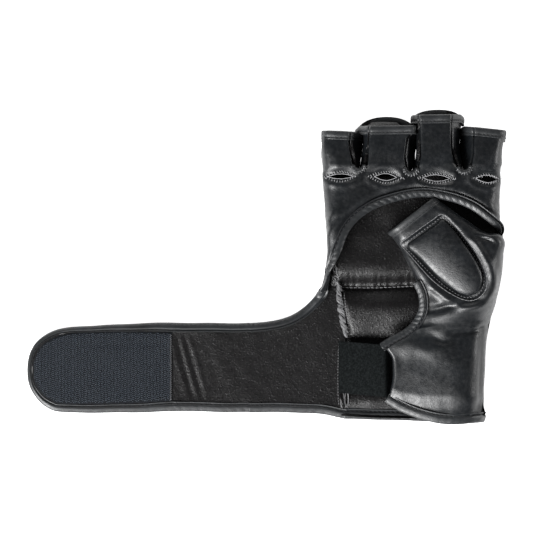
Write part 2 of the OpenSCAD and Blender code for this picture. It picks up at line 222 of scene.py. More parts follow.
def spline(points, step=1.0, closed=False):
    """Smooth curve through the points, at even steps."""
    p = [Vector(q) for q in points]
    n = len(p)
    pick = (lambda i: p[i % n]) if closed else (lambda i: p[min(max(i, 0), n - 1)])
    line = []
    for i in range(n if closed else n - 1):
        cuts = max(3, int((pick(i + 1) - p[i]).length / min(step, 0.5)))
        line += [catmull(pick(i - 1), p[i], pick(i + 1), pick(i + 2), k / cuts) for k in range(cuts)]
    line.append(p[0] if closed else p[-1])
    return even(line, step)


def table(rows, x):
    """Straight-line table at x, of rows (x, value, ...), as a numpy array."""
    rows = np.array(rows, float)
    return np.array([np.interp(x, rows[:, 0], rows[:, k]) for k in range(1, rows.shape[1])])


def xyz(points):
    return np.array([tuple(q) for q in points], float)


def plan(points):
    return np.array([(q[0], q[1]) for q in points], float)


def unit(v):
    """The vectors along the last axis, made one long."""
    return v / np.maximum(np.linalg.norm(v, axis=-1, keepdims=True), 1e-9)


def smooth(x):
    """Smooth step from 0 at 0 to 1 at 1."""
    x = np.clip(x, 0, 1)
    return x * x * (3 - 2 * x)


def near_line(points, line):
    """(distance to the line, share of the way along it) for each of the points, in plan."""
    p, v = plan(points), plan(line)
    a, d = v[:-1], v[1:] - v[:-1]
    best, along = np.full(len(p), 1e9), np.zeros(len(p))
    for i in range(len(a)):
        t = np.clip(((p - a[i]) @ d[i]) / max(d[i] @ d[i], 1e-12), 0, 1)
        dist = np.linalg.norm(p - a[i] - t[:, None] * d[i], axis=1)
        near = dist < best
        best[near], along[near] = dist[near], (i + t[near]) / len(a)
    return best, along


def from_loop(points, loop):
    """Distance of the points from a closed loop, in plan."""
    return near_line(points, [*loop, loop[0]])[0]


def fold(points, line, width, size):
    """Ridge, or crease where size is negative, along a line, dying away at its ends."""
    dist, along = near_line(points, spline(line, 1.5))
    return size * np.exp(-(dist / width) ** 2) * np.sin(math.pi * (0.08 + 0.84 * along)) ** 0.7


def waves(p, scale, seed=0):
    """Smooth noise from about -1 to 1 at points p (n, 3), with features of size scale."""
    shift = Vector((seed * 17.31, seed * 7.93, seed * 3.17))
    return np.array([noise.noise(Vector(q) * (1.5 / scale) + shift) for q in p]) * 1.7


def make(name, verts, faces, mat, inner=None, inner_mat=None, crisp=50):
    """A mesh object. inner lists the faces that take inner_mat; edges sharper than crisp stay crisp."""
    mesh = bpy.data.meshes.new(name)
    places = [tuple(float(c) * MM for c in v) for v in verts]
    mesh.from_pydata(places, [], [tuple(map(int, f)) for f in faces])
    mesh.materials.append(mat)
    if inner_mat:
        mesh.materials.append(inner_mat)
        index = np.zeros(len(mesh.polygons), np.int32)
        index[list(inner)] = 1
        mesh.polygons.foreach_set("material_index", index)
    bm = bmesh.new()
    bm.from_mesh(mesh)
    bmesh.ops.recalc_face_normals(bm, faces=bm.faces)
    for f in bm.faces:
        f.smooth = True
    for e in bm.edges:
        if len(e.link_faces) == 2 and e.calc_face_angle(0) > math.radians(crisp):
            e.smooth = False
    bm.to_mesh(mesh)
    bm.free()
    obj = bpy.data.objects.new(name, mesh)
    scene.collection.objects.link(obj)
    return obj


def normals(g, closed=False):
    """Normals of a grid of points (rows, columns, 3); closed joins its last column to its first."""
    du = (np.roll(g, -1, 1) - np.roll(g, 1, 1)) if closed else np.gradient(g, axis=1)
    return unit(np.cross(du, np.gradient(g, axis=0)))


def push(g, d, closed=False):
    """The grid moved along its normals by d, one value for each point."""
    return g + normals(g, closed) * np.asarray(d).reshape(g.shape[0], g.shape[1], 1)


def shell(name, g, thick, mat, closed=False, inner_mat=None):
    """A sheet of that thickness below the grid of points (rows, columns, 3)."""
    m, n = g.shape[:2]
    low = g - normals(g, closed) * thick
    o, cols = m * n, n if closed else n - 1
    at = lambda i, j: i * n + j % n
    top = [(at(i, j), at(i, j + 1), at(i + 1, j + 1), at(i + 1, j))
           for i in range(m - 1) for j in range(cols)]
    under = [tuple(o + k for k in reversed(f)) for f in top]
    ends = [(at(0, j + 1), at(0, j)) for j in range(cols)]
    ends += [(at(m - 1, j), at(m - 1, j + 1)) for j in range(cols)]
    if not closed:
        ends += [(at(i, 0), at(i + 1, 0)) for i in range(m - 1)]
        ends += [(at(i + 1, n - 1), at(i, n - 1)) for i in range(m - 1)]
    rim = [(a, b, o + b, o + a) for a, b in ends]
    verts = np.concatenate([g.reshape(-1, 3), low.reshape(-1, 3)])
    return make(name, verts, top + under + rim, mat, range(len(top), 2 * len(top)), inner_mat)


def inside(p, poly):
    """Which of the points p (n, 2) are inside the polygon."""
    x, y = p[:, 0], p[:, 1]
    q = plan(poly)
    hit = np.zeros(len(p), bool)
    for (x0, y0), (x1, y1) in zip(q, np.roll(q, -1, 0)):
        if y0 != y1:
            hit ^= ((y0 > y) != (y1 > y)) & (x < (x1 - x0) * (y - y0) / (y1 - y0) + x0)
    return hit


def filled(loops, step, gap):
    """Points (n, 2) and triangles that fill the first loop, except for the other loops inside it.
    Between the loops, the points lie step apart and no nearer than gap to a loop."""
    pts, edges = [], []
    for loop in loops:
        k = len(pts)
        pts += loop
        edges += [(k + i, k + (i + 1) % len(loop)) for i in range(len(loop))]
    lo, hi = plan(pts).min(0), plan(pts).max(0)
    grid = np.array([(x + (i % 2) * step / 2, y) for i, y in enumerate(np.arange(lo[1], hi[1], step * 0.87))
                     for x in np.arange(lo[0], hi[0], step)])
    keep = inside(grid, loops[0])
    for hole in loops[1:]:
        keep &= ~inside(grid, hole)
    for loop in loops:
        keep[keep] = from_loop(grid[keep], loop) > gap
    v, _, f, _, _, _ = delaunay_2d_cdt(pts + [Vector(p) for p in grid[keep]], edges, [], 1, 1e-6)
    flat = xyz(v)
    middle = np.array([flat[list(t)].mean(0) for t in f])
    good = np.ones(len(f), bool)
    for hole in loops[1:]:
        good &= ~inside(middle, hole)
    return flat, [tuple(t) for t, ok in zip(f, good) if ok]


def closed_sheet(top, low, tri):
    """Points and faces of a closed sheet, from its two faces, which have the same triangles."""
    m = len(top)
    used = {(a, b) for t in tri for a, b in zip(t, t[1:] + t[:1])}
    rims = sorted((b, a, a + m, b + m) for a, b in used if (b, a) not in used)
    return np.concatenate([top, low]), tri + [tuple(m + i for i in reversed(t)) for t in tri] + rims


def panel(name, outline, place, step, thick, mat, holes, relief, inner_mat=None):
    """A sheet cut to an outline in flat coordinates, with holes, and laid by place(points) -> (n, 3).
    relief(flat points, laid points) gives heights along the normal."""
    loops = [[Vector(p[:2]) for p in loop] for loop in (outline, *holes)]
    flat, tri = filled(loops, step, step * 0.55)
    e = 0.25
    du, dv = (place(flat + way) - place(flat - way) for way in ((e, 0), (0, e)))
    n = unit(np.cross(du, dv))
    top = place(flat)
    top = top + n * relief(flat, top)[:, None]
    return make(name, *closed_sheet(top, top - n * thick, tri), mat, range(len(tri), 2 * len(tri)), inner_mat)


def ring_faces(m, n, wrap=False):
    """Faces between m rings of n points each; wrap joins the last ring to the first."""
    return [(i * n + j, i * n + (j + 1) % n, (i + 1) % m * n + (j + 1) % n, (i + 1) % m * n + j)
            for i in range(m if wrap else m - 1) for j in range(n)]


# A sweep's rounded end: the size of each ring, and how far out it lies in mm
ROUND_END = ((0.93, 0.3), (0.7, 0.6), (0.05, 0.75))


def sweep(name, path, profile, mat, ups):
    """A closed section swept along a path, which has an upward direction at each point.
    profile(share, run) gives the section's points (side, up) in mm; side is positive on the right."""
    p = xyz(path)
    t = unit(np.gradient(p, axis=0))
    side = unit(np.cross(t, xyz(ups)))
    over = np.cross(side, t)
    run = np.concatenate([[0], np.cumsum(np.linalg.norm(np.diff(p, axis=0), axis=1))])
    rings = []
    for i in range(len(p)):
        sec = np.array(profile(i / (len(p) - 1), run[i]))
        rings.append(p[i] + sec[:, :1] * side[i] + sec[:, 1:] * over[i])
    for k, way in ((0, -1), (-1, 1)):
        middle = rings[k].mean(0)
        cap = [middle + (rings[k] - middle) * size + t[k] * way * out for size, out in ROUND_END]
        rings = rings + cap if k else cap[::-1] + rings
    m, n = len(rings), len(rings[0])
    faces = ring_faces(m, n) + [tuple(range(n)), tuple(range((m - 1) * n, m * n))]
    return make(name, np.concatenate(rings), faces, mat, crisp=70)


def blown(outline, step=1.0, rounds=1500):
    """A pillow blown up over the outline, as a function of plan points. It gives the height, from 0 at
    the outline to 1 at the top."""
    q = plan(outline)
    lo = q.min(0) - 2 * step
    nx, ny = ((q.max(0) + 2 * step - lo) / step).astype(int) + 1
    x, y = np.meshgrid(lo[0] + step * np.arange(nx), lo[1] + step * np.arange(ny))
    keep = inside(np.column_stack([x.ravel(), y.ravel()]), outline).reshape(x.shape)
    f = np.zeros(x.shape)
    for _ in range(rounds):
        f[1:-1, 1:-1] = (f[:-2, 1:-1] + f[2:, 1:-1] + f[1:-1, :-2] + f[1:-1, 2:] + 1) / 4
        f *= keep
    f /= f.max()

    def at(p):
        a, b = (p[:, 0] - lo[0]) / step, (p[:, 1] - lo[1]) / step
        i, j = np.clip(a.astype(int), 0, nx - 2), np.clip(b.astype(int), 0, ny - 2)
        a, b = a - i, b - j
        here, above = (f[k, i] * (1 - a) + f[k, i + 1] * a for k in (j, j + 1))
        return here * (1 - b) + above * b

    return at


def pillow_mesh(outline, step, base, rise, under):
    """Points and faces of a closed pillow, blown up by rise over a base height, with a flat under side."""
    edge = [Vector(p[:2]) for p in outline]
    flat, tri = filled([edge], step, step * 0.5)
    full = np.clip(blown(outline)(flat), 0, 1) ** 0.62
    top = base + rise * full * smooth(from_loop(flat, edge) / 1.5) ** 0.3
    low = np.full(len(flat), base - under)
    return closed_sheet(np.column_stack([flat, top]), np.column_stack([flat, low]), tri)


def baked(obj):
    """Puts the result of the object's modifiers into its mesh, so that none is left."""
    old = obj.data
    obj.data = bpy.data.meshes.new_from_object(obj.evaluated_get(bpy.context.evaluated_depsgraph_get()))
    obj.modifiers.clear()
    bpy.data.meshes.remove(old)


# The cloth simulation's pressure and length
PRESSURE, FRAMES = 4.0, 20


def inflate(obj, voxel, cap):
    """Blows a closed pad up by cloth simulation. No point moves further than cap, in mm."""
    remesh = obj.modifiers.new("remesh", "REMESH")
    remesh.mode, remesh.voxel_size = "VOXEL", voxel * MM
    baked(obj)
    before = xyz(v.co for v in obj.data.vertices)
    cloth = obj.modifiers.new("cloth", "CLOTH")
    cloth.settings.use_pressure = True
    cloth.settings.uniform_pressure_force = PRESSURE
    cloth.settings.effector_weights.gravity = 0
    cloth.point_cache.frame_start, cloth.point_cache.frame_end = 1, FRAMES
    for number in range(1, FRAMES + 1):
        scene.frame_set(number)
    baked(obj)
    move = xyz(v.co for v in obj.data.vertices) - before
    far = np.linalg.norm(move, axis=1, keepdims=True)
    place = before + move * np.minimum(1, cap * MM / np.maximum(far, 1e-9))
    obj.data.vertices.foreach_set("co", place.ravel())
    obj.modifiers.new("smooth", "SUBSURF").levels = 1
    baked(obj)
    obj.data.polygons.foreach_set("use_smooth", [True] * len(obj.data.polygons))
    scene.frame_set(1)


class Bits:
    """Many small threads that make one piece."""

    def __init__(self):
        self.v, self.f = [], []

    def thread(self, points, r, sides=6):
        """A round thread with rounded ends through the points."""
        p = xyz(points)
        t = unit(np.gradient(p, axis=0))
        across = unit(np.cross(t, (0.05, 0.02, 1)))
        over = np.cross(across, t)
        p = np.concatenate([[p[0] - t[0] * r * 0.6], p, [p[-1] + t[-1] * r * 0.6]])
        across = np.concatenate([across[:1], across, across[-1:]])
        over = np.concatenate([over[:1], over, over[-1:]])
        size = np.full(len(p), r)
        size[[0, -1]] = 0.35 * r
        k = len(self.v)
        for i in range(len(p)):
            for a in range(sides):
                c, s = math.cos(2 * math.pi * a / sides), math.sin(2 * math.pi * a / sides)
                self.v.append(p[i] + size[i] * (c * across[i] + s * over[i]))
        self.f += [tuple(k + c for c in face) for face in ring_faces(len(p), sides)]
        self.f += [tuple(range(k, k + sides)), tuple(range(k + (len(p) - 1) * sides, k + len(p) * sides))]

    def row(self, path, pitch, long, r, lift=0.0, jitter=0.1, arch=0.25):
        """Running stitches along a path, each dipping at its ends."""
        line = even([Vector(q) for q in path], pitch)
        for a, b in zip(line, line[1:]):
            c, d = (a + b) / 2, (b - a).normalized() * long / 2
            j = Vector((random.uniform(-1, 1), random.uniform(-1, 1), 0)) * jitter
            z, dip = Vector((0, 0, lift)), Vector((0, 0, arch))
            self.thread([c - d + j + z - dip, c + z + j * 0.4, c + d + z - dip], r)

    def piece(self, name, mat):
        return make(name, self.v, self.f, mat, crisp=80)


# The rays that look for a surface start from this height
ABOVE = 200


def height(obj):
    """A function (x, y) -> z of the object's highest surface, for laying things on it."""
    points = [v.co / MM for v in obj.data.vertices]
    tree = BVHTree.FromPolygons(points, [tuple(p.vertices) for p in obj.data.polygons])

    def at(x, y, default=0.0):
        hit = tree.ray_cast(Vector((x, y, ABOVE)), Vector((0, 0, -1)))
        return hit[0].z if hit[0] else default

    return at


def on(surface, path, lift, default):
    """The path laid on a surface from height(), or at default where it runs beyond it."""
    return [Vector((q[0], q[1], surface(q[0], q[1], default) + lift)) for q in path]


# ---------------------------------------------------------------- bodies, joints and what stands for what

# Origin of the thumb's coordinates, and the cosine and sine of its direction
THUMB_AT, C, S = (29.8, 9.9), 0.7923, 0.6101


def world(u, v):
    """Plan place of thumb coordinates: v runs along the thumb."""
    return THUMB_AT[0] + C * u - S * v, THUMB_AT[1] + S * u + C * v


def bend(a, b, start, end):
    return a, b, tuple(c * MM for c in start), tuple(c * MM for c in end)


BENDS = {
    "little": bend("hand", "little_finger", (-47.5, 68, 28), (-47.5, 82, 28)),
    "ring": bend("hand", "ring_finger", (-17.5, 68, 28), (-17.5, 82, 28)),
    "middle": bend("hand", "middle_finger", (16.5, 68, 28), (16.5, 82, 28)),
    "index": bend("hand", "index_finger", (47, 68, 28), (47, 82, 28)),
    "thumb": bend("hand", "thumb", (*world(0, -5), 30), (*world(0, 9), 30)),
    "fold": bend("hand", "strap", (-50.2, -60.9, 4), (-71.7, -65.1, 4)),
    "wrap": bend("strap", "strap_end", (-136, -62, 4), (-177, -62, 4)),
}


def attach(obj, where, slot, *nodes):
    """Puts a piece on the body called where, in place of the CAD's nodes. A piece whose where is a bend only
    has its place baked into its mesh and goes on no body.
    """
    if where in BENDS:
        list(BENDS[where])
        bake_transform(obj)
    else:
        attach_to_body(obj, where)
    if nodes:
        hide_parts(*nodes)


def stitch(name, where, mat, *rows):
    """Rows of running stitches as one piece. Each row holds the values for Bits.row."""
    bits = Bits()
    for row in rows:
        bits.row(*row)
    attach(bits.piece(name, mat), where, "seam_thread")


# ---------------------------------------------------------------- bindings


# Upper half of a binding's section, as (side, up) on a width of 5: lip, stitched groove and roll
SECTION = np.array([
    (0.0, -0.1), (0.02, 0.6), (0.15, 0.98), (0.38, 0.92), (0.68, 0.45), (0.86, -0.1), (1.1, -0.3),
    (1.32, 0.1), (1.6, 0.66), (2.0, 0.86), (2.6, 0.74), (3.3, 0.42), (4.0, 0.02), (4.5, -0.45), (4.8, -0.95)])
SECTION_WIDE, GROOVE_SIDE = 5, 1.2


def binding_profile(w, low, pucker, pitch, lean, seed, flip, full):
    """Section of a folded strip over an edge, for sweep(). w is its width, low the thickness of the edge,
    pucker the depth of its puckers, pitch and lean their spacing and slant, and full the height of the
    roll. w and pucker can be functions of the share of the way along."""
    r = np.random.default_rng(seed)
    phase, slow = r.uniform(0, 6, 3), r.uniform(0.7, 1.3, 3)
    tall = SECTION[:, 1] * np.where(SECTION[:, 1] > 0, full, min(low / 2, 1) * 0.8)

    def profile(share, run):
        wide = w(share) if callable(w) else w
        upper = np.column_stack([SECTION[:, 0] * wide / SECTION_WIDE, low / 2 + tall])
        s = np.concatenate([upper, [(wide, 0)], (upper * (1, -1))[::-1]])
        across = s[:, 0] / wide
        roll = np.clip((across - 0.28) * 4, 0, 1)
        beat = 2 * math.pi * run / pitch
        beat += 0.9 * math.sin(run / 9 + phase[0]) + 0.5 * math.sin(run / 3.7 + phase[1])
        depth = pucker(share) if callable(pucker) else pucker
        amount = depth * (0.72 + 0.28 * math.sin(run / 7 * slow[0] + phase[2]))
        ridge = np.abs(np.sin(beat / 2 + lean * across * 2.4)) ** 0.5 - 0.75
        s[:, 1] += np.sign(s[:, 1]) * amount * ridge * roll * (np.abs(s[:, 1]) > 0.3)
        s[:, 0] += amount * 0.4 * ridge * roll * (across > 0.7) + 0.12 * math.sin(run / 5 + phase[1])
        s[:, 0] = flip * (s[:, 0] - wide / 2)
        return s if flip > 0 else s[::-1]

    return profile


def groove(path, w, flip, lift):
    """The line of the stitched groove in a binding on that path."""
    last = len(path) - 1
    w = np.array([w(i / last) if callable(w) else w for i in range(len(path))])[:, None]
    p = xyz(path)
    side = unit(np.cross(unit(np.gradient(p, axis=0)), (0, 0, 1)))
    out = p + side * flip * (GROOVE_SIDE / SECTION_WIDE - 0.5) * w + (0, 0, lift)
    return [Vector(a) for a in out]


def binding(name, points, w, low, where, nodes, pucker, flip, seed, pitch,
            lean=1.0, step=0.55, full=1.0, ups=None):
    """A bound edge. Its free side is on the right of the path where flip is 1, and on the left where it
    is -1. The points are the path itself where ups, its upward directions, are given."""
    path = points if ups else spline(points, step)
    profile = binding_profile(w, low, pucker, pitch, lean, seed, flip, full)
    band = sweep(name, path, profile, BINDING, ups or [Vector((0, 0, 1))] * len(path))
    attach(band, where, "binding_leather", *nodes)
    stitch(name + "_stitches", where, DARK_THREAD, (groove(path, w, flip, low / 2), 3.0, 2.0, 0.3, 0.1))


# ---------------------------------------------------------------- palm leather

# Radius of the palm's long edges, its height there, its crown in the middle and half its width
CORNER, PALM_Z, CROWN, HALF = 9.0, 28.0, 1.2, 58
# The palm's half width on each side, as (y, half width)
LEFT_EDGE = [(-14, 57.6), (-6.6, 57.0), (13, 55.6), (23, 56.2), (39.6, 57.0), (62.7, 58.7), (82.5, 59.4)]
RIGHT_EDGE = [(20, 58.2), (30, 57.8), (39.6, 57.4), (69, 58.1), (89, 59.7)]


def palm_crown(x):
    return CROWN * (1 - np.clip(np.abs(x) / HALF, 0, 1) ** 2)


def finger_rise(y):
    """The leather rises a little towards the finger tubes."""
    return 1.6 * smooth((y - 67.6) / 6)


def palm_place(q):
    """Flat coordinates of the palm leather to its place: over the palm and down both sides."""
    s, t = q[:, 0], q[:, 1]
    half = np.where(s < 0, table(LEFT_EDGE, t)[0], table(RIGHT_EDGE, t)[0])
    a = np.abs(s) - (half - CORNER)
    turn = np.clip(a / CORNER, 0, math.pi / 2)
    down = np.maximum(a - CORNER * math.pi / 2, 0)
    x = np.where(a <= 0, np.abs(s), half - CORNER + CORNER * np.sin(turn))
    z = PALM_Z + palm_crown(s) - CORNER * (1 - np.cos(turn)) - down
    return np.stack([np.sign(s) * x, t, z], 1)


def palm_point(s, t, lift=0.0):
    p = palm_place(np.array([[s, t]], float))[0]
    return Vector((p[0], p[1], p[2] + lift))


# The palm opening's edge, in flat coordinates
CUT = [(72, 27), (66, 29.5), (60, 32.3), (53.5, 36), (46.5, 41.2), (39, 46), (27.5, 50.8), (12, 53.8),
       (-1, 53.6), (-14.5, 50.4), (-27, 45.6), (-37.3, 38.6), (-44.2, 29.6), (-48.6, 19.5), (-52.3, 10),
       (-57.5, 2), (-63.5, -4), (-71, -9)]
cut_line = spline(CUT, 1.0)
# Centre of each vent, size of its opening and size of the ring of stitches round it, and its slant
VENTS = [(-47.4, 64.9, 16.7, 2.6, 20.8, 7.0), (-17.6, 64.5, 14.2, 3.8, 22.7, 8.2),
         (15.8, 63.8, 17.6, 3.6, 25.0, 7.1), (49.3, 63.3, 14.6, 4.2, 17.8, 6.6)]


def vent_loop(x, y, w, h, grow=0.0, lean=0.0):
    """Pointed oval round (x, y)."""
    top = [(k / 10 - 1, (1 - (k / 10 - 1) ** 2) ** 1.15) for k in range(21)]
    loop = [(a * (w / 2 + grow), b * (h / 2 + grow)) for a, b in top]
    loop += [(a * (w / 2 + grow), -b * (h / 2 + grow)) for a, b in top[-2:0:-1]]
    return [Vector((x + a, y + b + lean * a)) for a, b in loop]


LEANS = (0.02, -0.03, -0.03, -0.05)
vents = [vent_loop(x, y, w, h, lean=k) for (x, y, w, h, _, _), k in zip(VENTS, LEANS)]
palm_top = [Vector(p) for p in [
    (80, 68), (66, 68), (52, 68), (42.5, 68), (38.5, 67.8), (33.7, 67.2), (28.8, 67.8), (25.5, 68),
    (14, 68), (5, 68), (2.4, 67.6), (-0.3, 67), (-2.8, 67.6), (-5, 68), (-17, 68), (-30, 68),
    (-32.4, 67.9), (-34.7, 67.4), (-37.8, 67.9), (-41, 68), (-52, 68), (-66, 68), (-80, 68)]]
palm_outline = [Vector((79, 27))] + even(palm_top, 1.2) + [Vector((-79, y)) for y in range(66, -12, -3)]
palm_outline += [Vector((-75, -11))] + cut_line[::-1]


def vent_relief(flat):
    """The leather dips to each vent, and has a thin raised rim round it."""
    h = np.zeros(len(flat))
    for loop in vents:
        d = from_loop(flat, loop)
        h -= 1.3 * np.exp(-(d / 2.1) ** 2) - 0.9 * np.exp(-((d - 0.25) / 0.5) ** 2)
        h += 0.5 * np.exp(-((d - 4.6) / 2.0) ** 2)
    return h


def skin(p):
    """Gentle unevenness of the leather across the palm and fingers."""
    return 0.45 * waves(p, 24, 3) + 0.12 * waves(p, 11, 4)


def palm_relief(flat, laid):
    """Skin, vents, the groove and roll along the cut edge, and a few folds."""
    h = skin(laid) + vent_relief(flat) + finger_rise(flat[:, 1])
    d = near_line(flat, cut_line)[0]
    h -= 0.45 * np.exp(-((d - 3.3) / 0.8) ** 2)
    h += 0.8 * np.exp(-((d - 6.4) / 2.6) ** 2)
    for line, width, size in (
            [[(-57, 31), (-53, 38), (-47, 43)], 3.0, 1.4], [[(-57, 22), (-55, 27), (-52, 33)], 2.2, 1.2],
            [[(-38, 50), (-26, 57), (-12, 60)], 4.0, 0.5], [[(8, 58), (24, 57), (36, 53)], 3.6, 0.45]):
        h += fold(flat, line, width, size)
    return h


palm = panel("palm_leather", palm_outline, palm_place, 1.25, 1.4, LEATHER, vents, palm_relief, LINING)
attach(palm, "hand", "leather", "palm_leather")
palm_z = height(palm)

# Slanting ticks in a ring round each vent, and a thread along its rim, in a pale thread whose paleness is
# partly a painted glint
ticks, lines = Bits(), Bits()
for (x, y, w, h, wide, tall), k in zip(VENTS, LEANS):
    ring = vent_loop(x, y, wide, tall, 0.0, k)
    rim = even([*ring, ring[0]], 1.75)
    for p in rim[:-1]:
        up = p.y > y + k * (p.x - x)
        slant = random.uniform(-0.9, -0.5) if up else random.uniform(0.1, 0.6)
        d = Vector((slant, 1.0)).normalized() * (1 if up else -1)
        a = p.to_2d() + d * random.uniform(0.1, 0.5)
        b = p.to_2d() - d * random.uniform(1.0, 1.9) * (1.1 if up else 0.6)
        m = (a + b) / 2
        za, zb = palm_z(a.x, a.y, 28), palm_z(b.x, b.y, 27)
        tick = [(a.x, a.y, za - 0.1), (m.x, m.y, max(za, zb) + 0.25), (b.x, b.y, zb - 0.1)]
        ticks.thread(tick, random.uniform(0.14, 0.2))
    edge = vent_loop(x, y, w, h, 0.35, k)
    lines.thread([(p.x + random.uniform(-0.1, 0.1), p.y + random.uniform(-0.12, 0.12),
                   palm_z(p.x, p.y, 27) + 0.12) for p in even([*edge, edge[0]], 1.0)], 0.2, 5)
attach(ticks.piece("vent_stitches", PALE_GLINT_THREAD), "hand", "seam_thread")
attach(lines.piece("vent_edge_threads", PALE_GLINT_THREAD), "hand", "seam_thread")

# The binding lies flat on the palm, stands on the little-finger side and lies outwards on the strap
END = [(-59.8, -12.4, 6.4), (-63.4, -18.0, 4.4), (-70.2, -24.4, 2.9), (-79.9, -30.0, 2.6),
       (-92.5, -33.6, 2.6), (-110, -34.8, 2.6), (-135, -34.8, 2.6), (-157, -34.6, 2.6)]
START = [(57.2, 26.6, 19.0), (58.0, 29.2, 22.5), (57.0, 32.2, 25.0), (53.6, 35.6, 26.6)]
# The strap's two lengths overlap between these x
ROOT_END, END_START = -108.0, -107.0
# Thickness inside the strap's bindings, and the puckers and roll of its bindings along the sides
STRAP_THICK = 3.7
SIDES = dict(pucker=0.16, pitch=6, full=0.8)
edge = spline(START + [tuple(palm_point(s, t, -0.5)) for s, t in CUT[4:-1]] + END, 0.45)
turn = [smooth((24 - p.y) / 26) * 0.5 + smooth((4 - p.y) / 24) * 0.5 if p.x < 0 else 0.0 for p in edge]
ups = [Vector((-math.sin(math.pi * k), 0, math.cos(math.pi * k))) for k in turn]
a = next(i for i, p in enumerate(edge) if p.x < -40 and p.y < -9.5)
b = next(i for i, p in enumerate(edge) if p.x < END_START)
binding("palm_binding", edge[:a + 1], lambda k: 6.0 - 2.8 * max(0.0, 1 - k / 0.05), 2.0, "hand",
        ["palm_binding"], lambda k: 0.22 + 0.62 * math.exp(-((k - 0.52) / 0.2) ** 2),
        flip=-1, seed=5, pitch=4.4, lean=1.6, ups=ups[:a + 1])
binding("strap_binding_upper", edge[a:b + 1], 6.2, STRAP_THICK, "fold", ["strap_binding_upper"],
        flip=-1, seed=15, ups=ups[a:b + 1], **SIDES)
binding("strap_binding_upper_end", edge[b:], 6.2, STRAP_THICK, "wrap", [],
        flip=-1, seed=16, ups=ups[b:], **SIDES)

# ---------------------------------------------------------------- leather over the thumb and wrist

# Left and right ends in plan, bow, height, left drop, lowest z on the right, radii left and right, crown
THUMB_ROWS = [
    (-18.2, -83.0, 47.5, -97.0, 7.2, 13.4, 3.0, 2.0, 2.5, 9, 3.8),
    (-14.9, -76.6, 47.6, -88.0, 4.8, 14.6, 3.0, 1.6, 2.5, 10, 4.6),
    (-12.7, -66.5, 48.0, -74.0, 2.0, 15.9, 3.0, 1.5, 2.5, 10, 5.0),
    (-13.4, -55.0, 48.4, -62.0, 0.8, 17.1, 3.0, 1.5, 2.5, 10, 4.6),
    (-17.4, -47.4, 49.0, -50.0, 0.0, 18.2, 3.0, 2.5, 2.5, 11, 3.5),
    (-10.0, -42.0, 49.7, -40.0, 0.0, 18.8, 3.0, 3.2, 2.5, 12, 2.5),
    (-0.6, -36.2, 52.2, -29.0, -0.6, 20.2, 3.0, 3.2, 2.5, 13, 1.8),
    (4.8, -29.5, 55.8, -18.0, -1.0, 23.8, 3.2, 1.5, 2.8, 13, 1.5),
    (7.6, -21.5, 58.0, -7.5, -1.0, 26.4, 4.0, 1.5, 3.4, 12, 1.5),
    (7.2, -14.0, 59.4, 2.5, -0.6, 28.2, 6.0, 1.5, 5.0, 11, 1.5),
    (*world(-31.0, -1.5), 60.2, 13.0, 0.0, 29.6, 9.0, 1.5, 6.5, 10, 1.5),
    (*world(-30.2, 2.0), 61.0, 21.5, 0.4, 30.0, 12.0, 1.5, 7.0, 8, 1.5),
    (*world(-29.4, 6.0), *world(32.2, -3.2), 0.3, 30.2, 13.0, 9.0, 7.0, 7, 1.5),
    (*world(-28.4, 10.5), *world(26.2, 2.6), 0.0, 30.2, 13.5, 15.5, 7.0, 7, 1.5),
    (*world(-27.4, 16.0), *world(22.8, 11.0), 0.0, 30.0, 13.5, 16.0, 7.0, 7, 1.5),
    (*world(-26.2, 22.5), *world(20.0, 20.0), 0.0, 29.8, 13.0, 16.5, 7.0, 7, 1.5),
    (*world(-25.0, 31.0), *world(16.8, 29.6), 0.0, 29.5, 12.5, 16.5, 7.0, 7, 1.5),
    (*world(-24.9, 38.0), *world(14.2, 38.0), 0.0, 29.1, 12.0, 17.0, 7.0, 7, 1.5),
    (*world(-25.3, 42.2), *world(12.8, 42.4), 0.0, 28.9, 12.0, 17.0, 7.0, 7, 1.5),
]
HEM_LINE = [(-18.5, -82.0), (-6.7, -86.4), (5, -88.2), (18.5, -89.1), (50, -89.6)]


def thumb_rows(step=0.85):
    """THUMB_ROWS, with smooth rows between them."""
    rows = [np.array(r, float) for r in THUMB_ROWS]
    out = []
    for i in range(len(rows) - 1):
        a, b, c, d = rows[max(i - 1, 0)], rows[i], rows[i + 1], rows[min(i + 2, len(rows) - 1)]
        far = (np.linalg.norm(c[:2] - b[:2]) + np.linalg.norm(c[2:4] - b[2:4])) / 2
        cuts = max(2, round(far / step))
        out += [catmull(a, b, c, d, k / cuts) for k in range(cuts)]
    return out + [rows[-1]]


# Points on the left side, the left arc, the top, the right arc and the right side
COUNTS = (5, 7, 66, 9, 9)
# The sleeve's top rises by this from left to right
SLEEVE_TILT = 7.0


def thumb_section(row):
    """Section from the bottom of the left side, over the top and down the right side."""
    left, right, bow, top, drop, low, rl, rr, crown = row[0:2], row[2:4], *row[4:11]
    width = np.linalg.norm(right - left)
    along = (right - left) / width
    out = np.array([along[1], -along[0]])
    rl, rr = min(rl, drop * 0.95), min(rr, width * 0.4)
    k = [np.linspace(0, 1, n, endpoint=False) for n in COUNTS[:-1]] + [np.linspace(0, 1, COUNTS[-1])]
    arc_l, arc_r = math.pi - k[1] * math.pi / 2, math.pi / 2 - k[3] * math.pi / 2
    a = np.concatenate([0 * k[0], rl + rl * np.cos(arc_l), rl + (width - rl - rr) * k[2],
                        width - rr + rr * np.cos(arc_r), 0 * k[4] + width])
    z = np.concatenate([top - drop + (drop - rl) * k[0], top - rl + rl * np.sin(arc_l), top + 0 * k[2],
                        top - rr + rr * np.sin(arc_r), top - rr + (low - top + rr) * k[4]])
    q = a / width
    skew = 1 + min(max((crown - 1.5) / 3.5, 0), 1)
    z = z + crown * np.sin(math.pi * np.clip(q, 0, 1) ** skew) ** 0.9
    z = z + SLEEVE_TILT * min(max((1.8 - crown) / 0.3, 0), 1) * (np.clip(q, 0, 1) - 0.5)
    return np.column_stack([left + along * a[:, None] + out * (bow * 4 * q * (1 - q))[:, None], z])


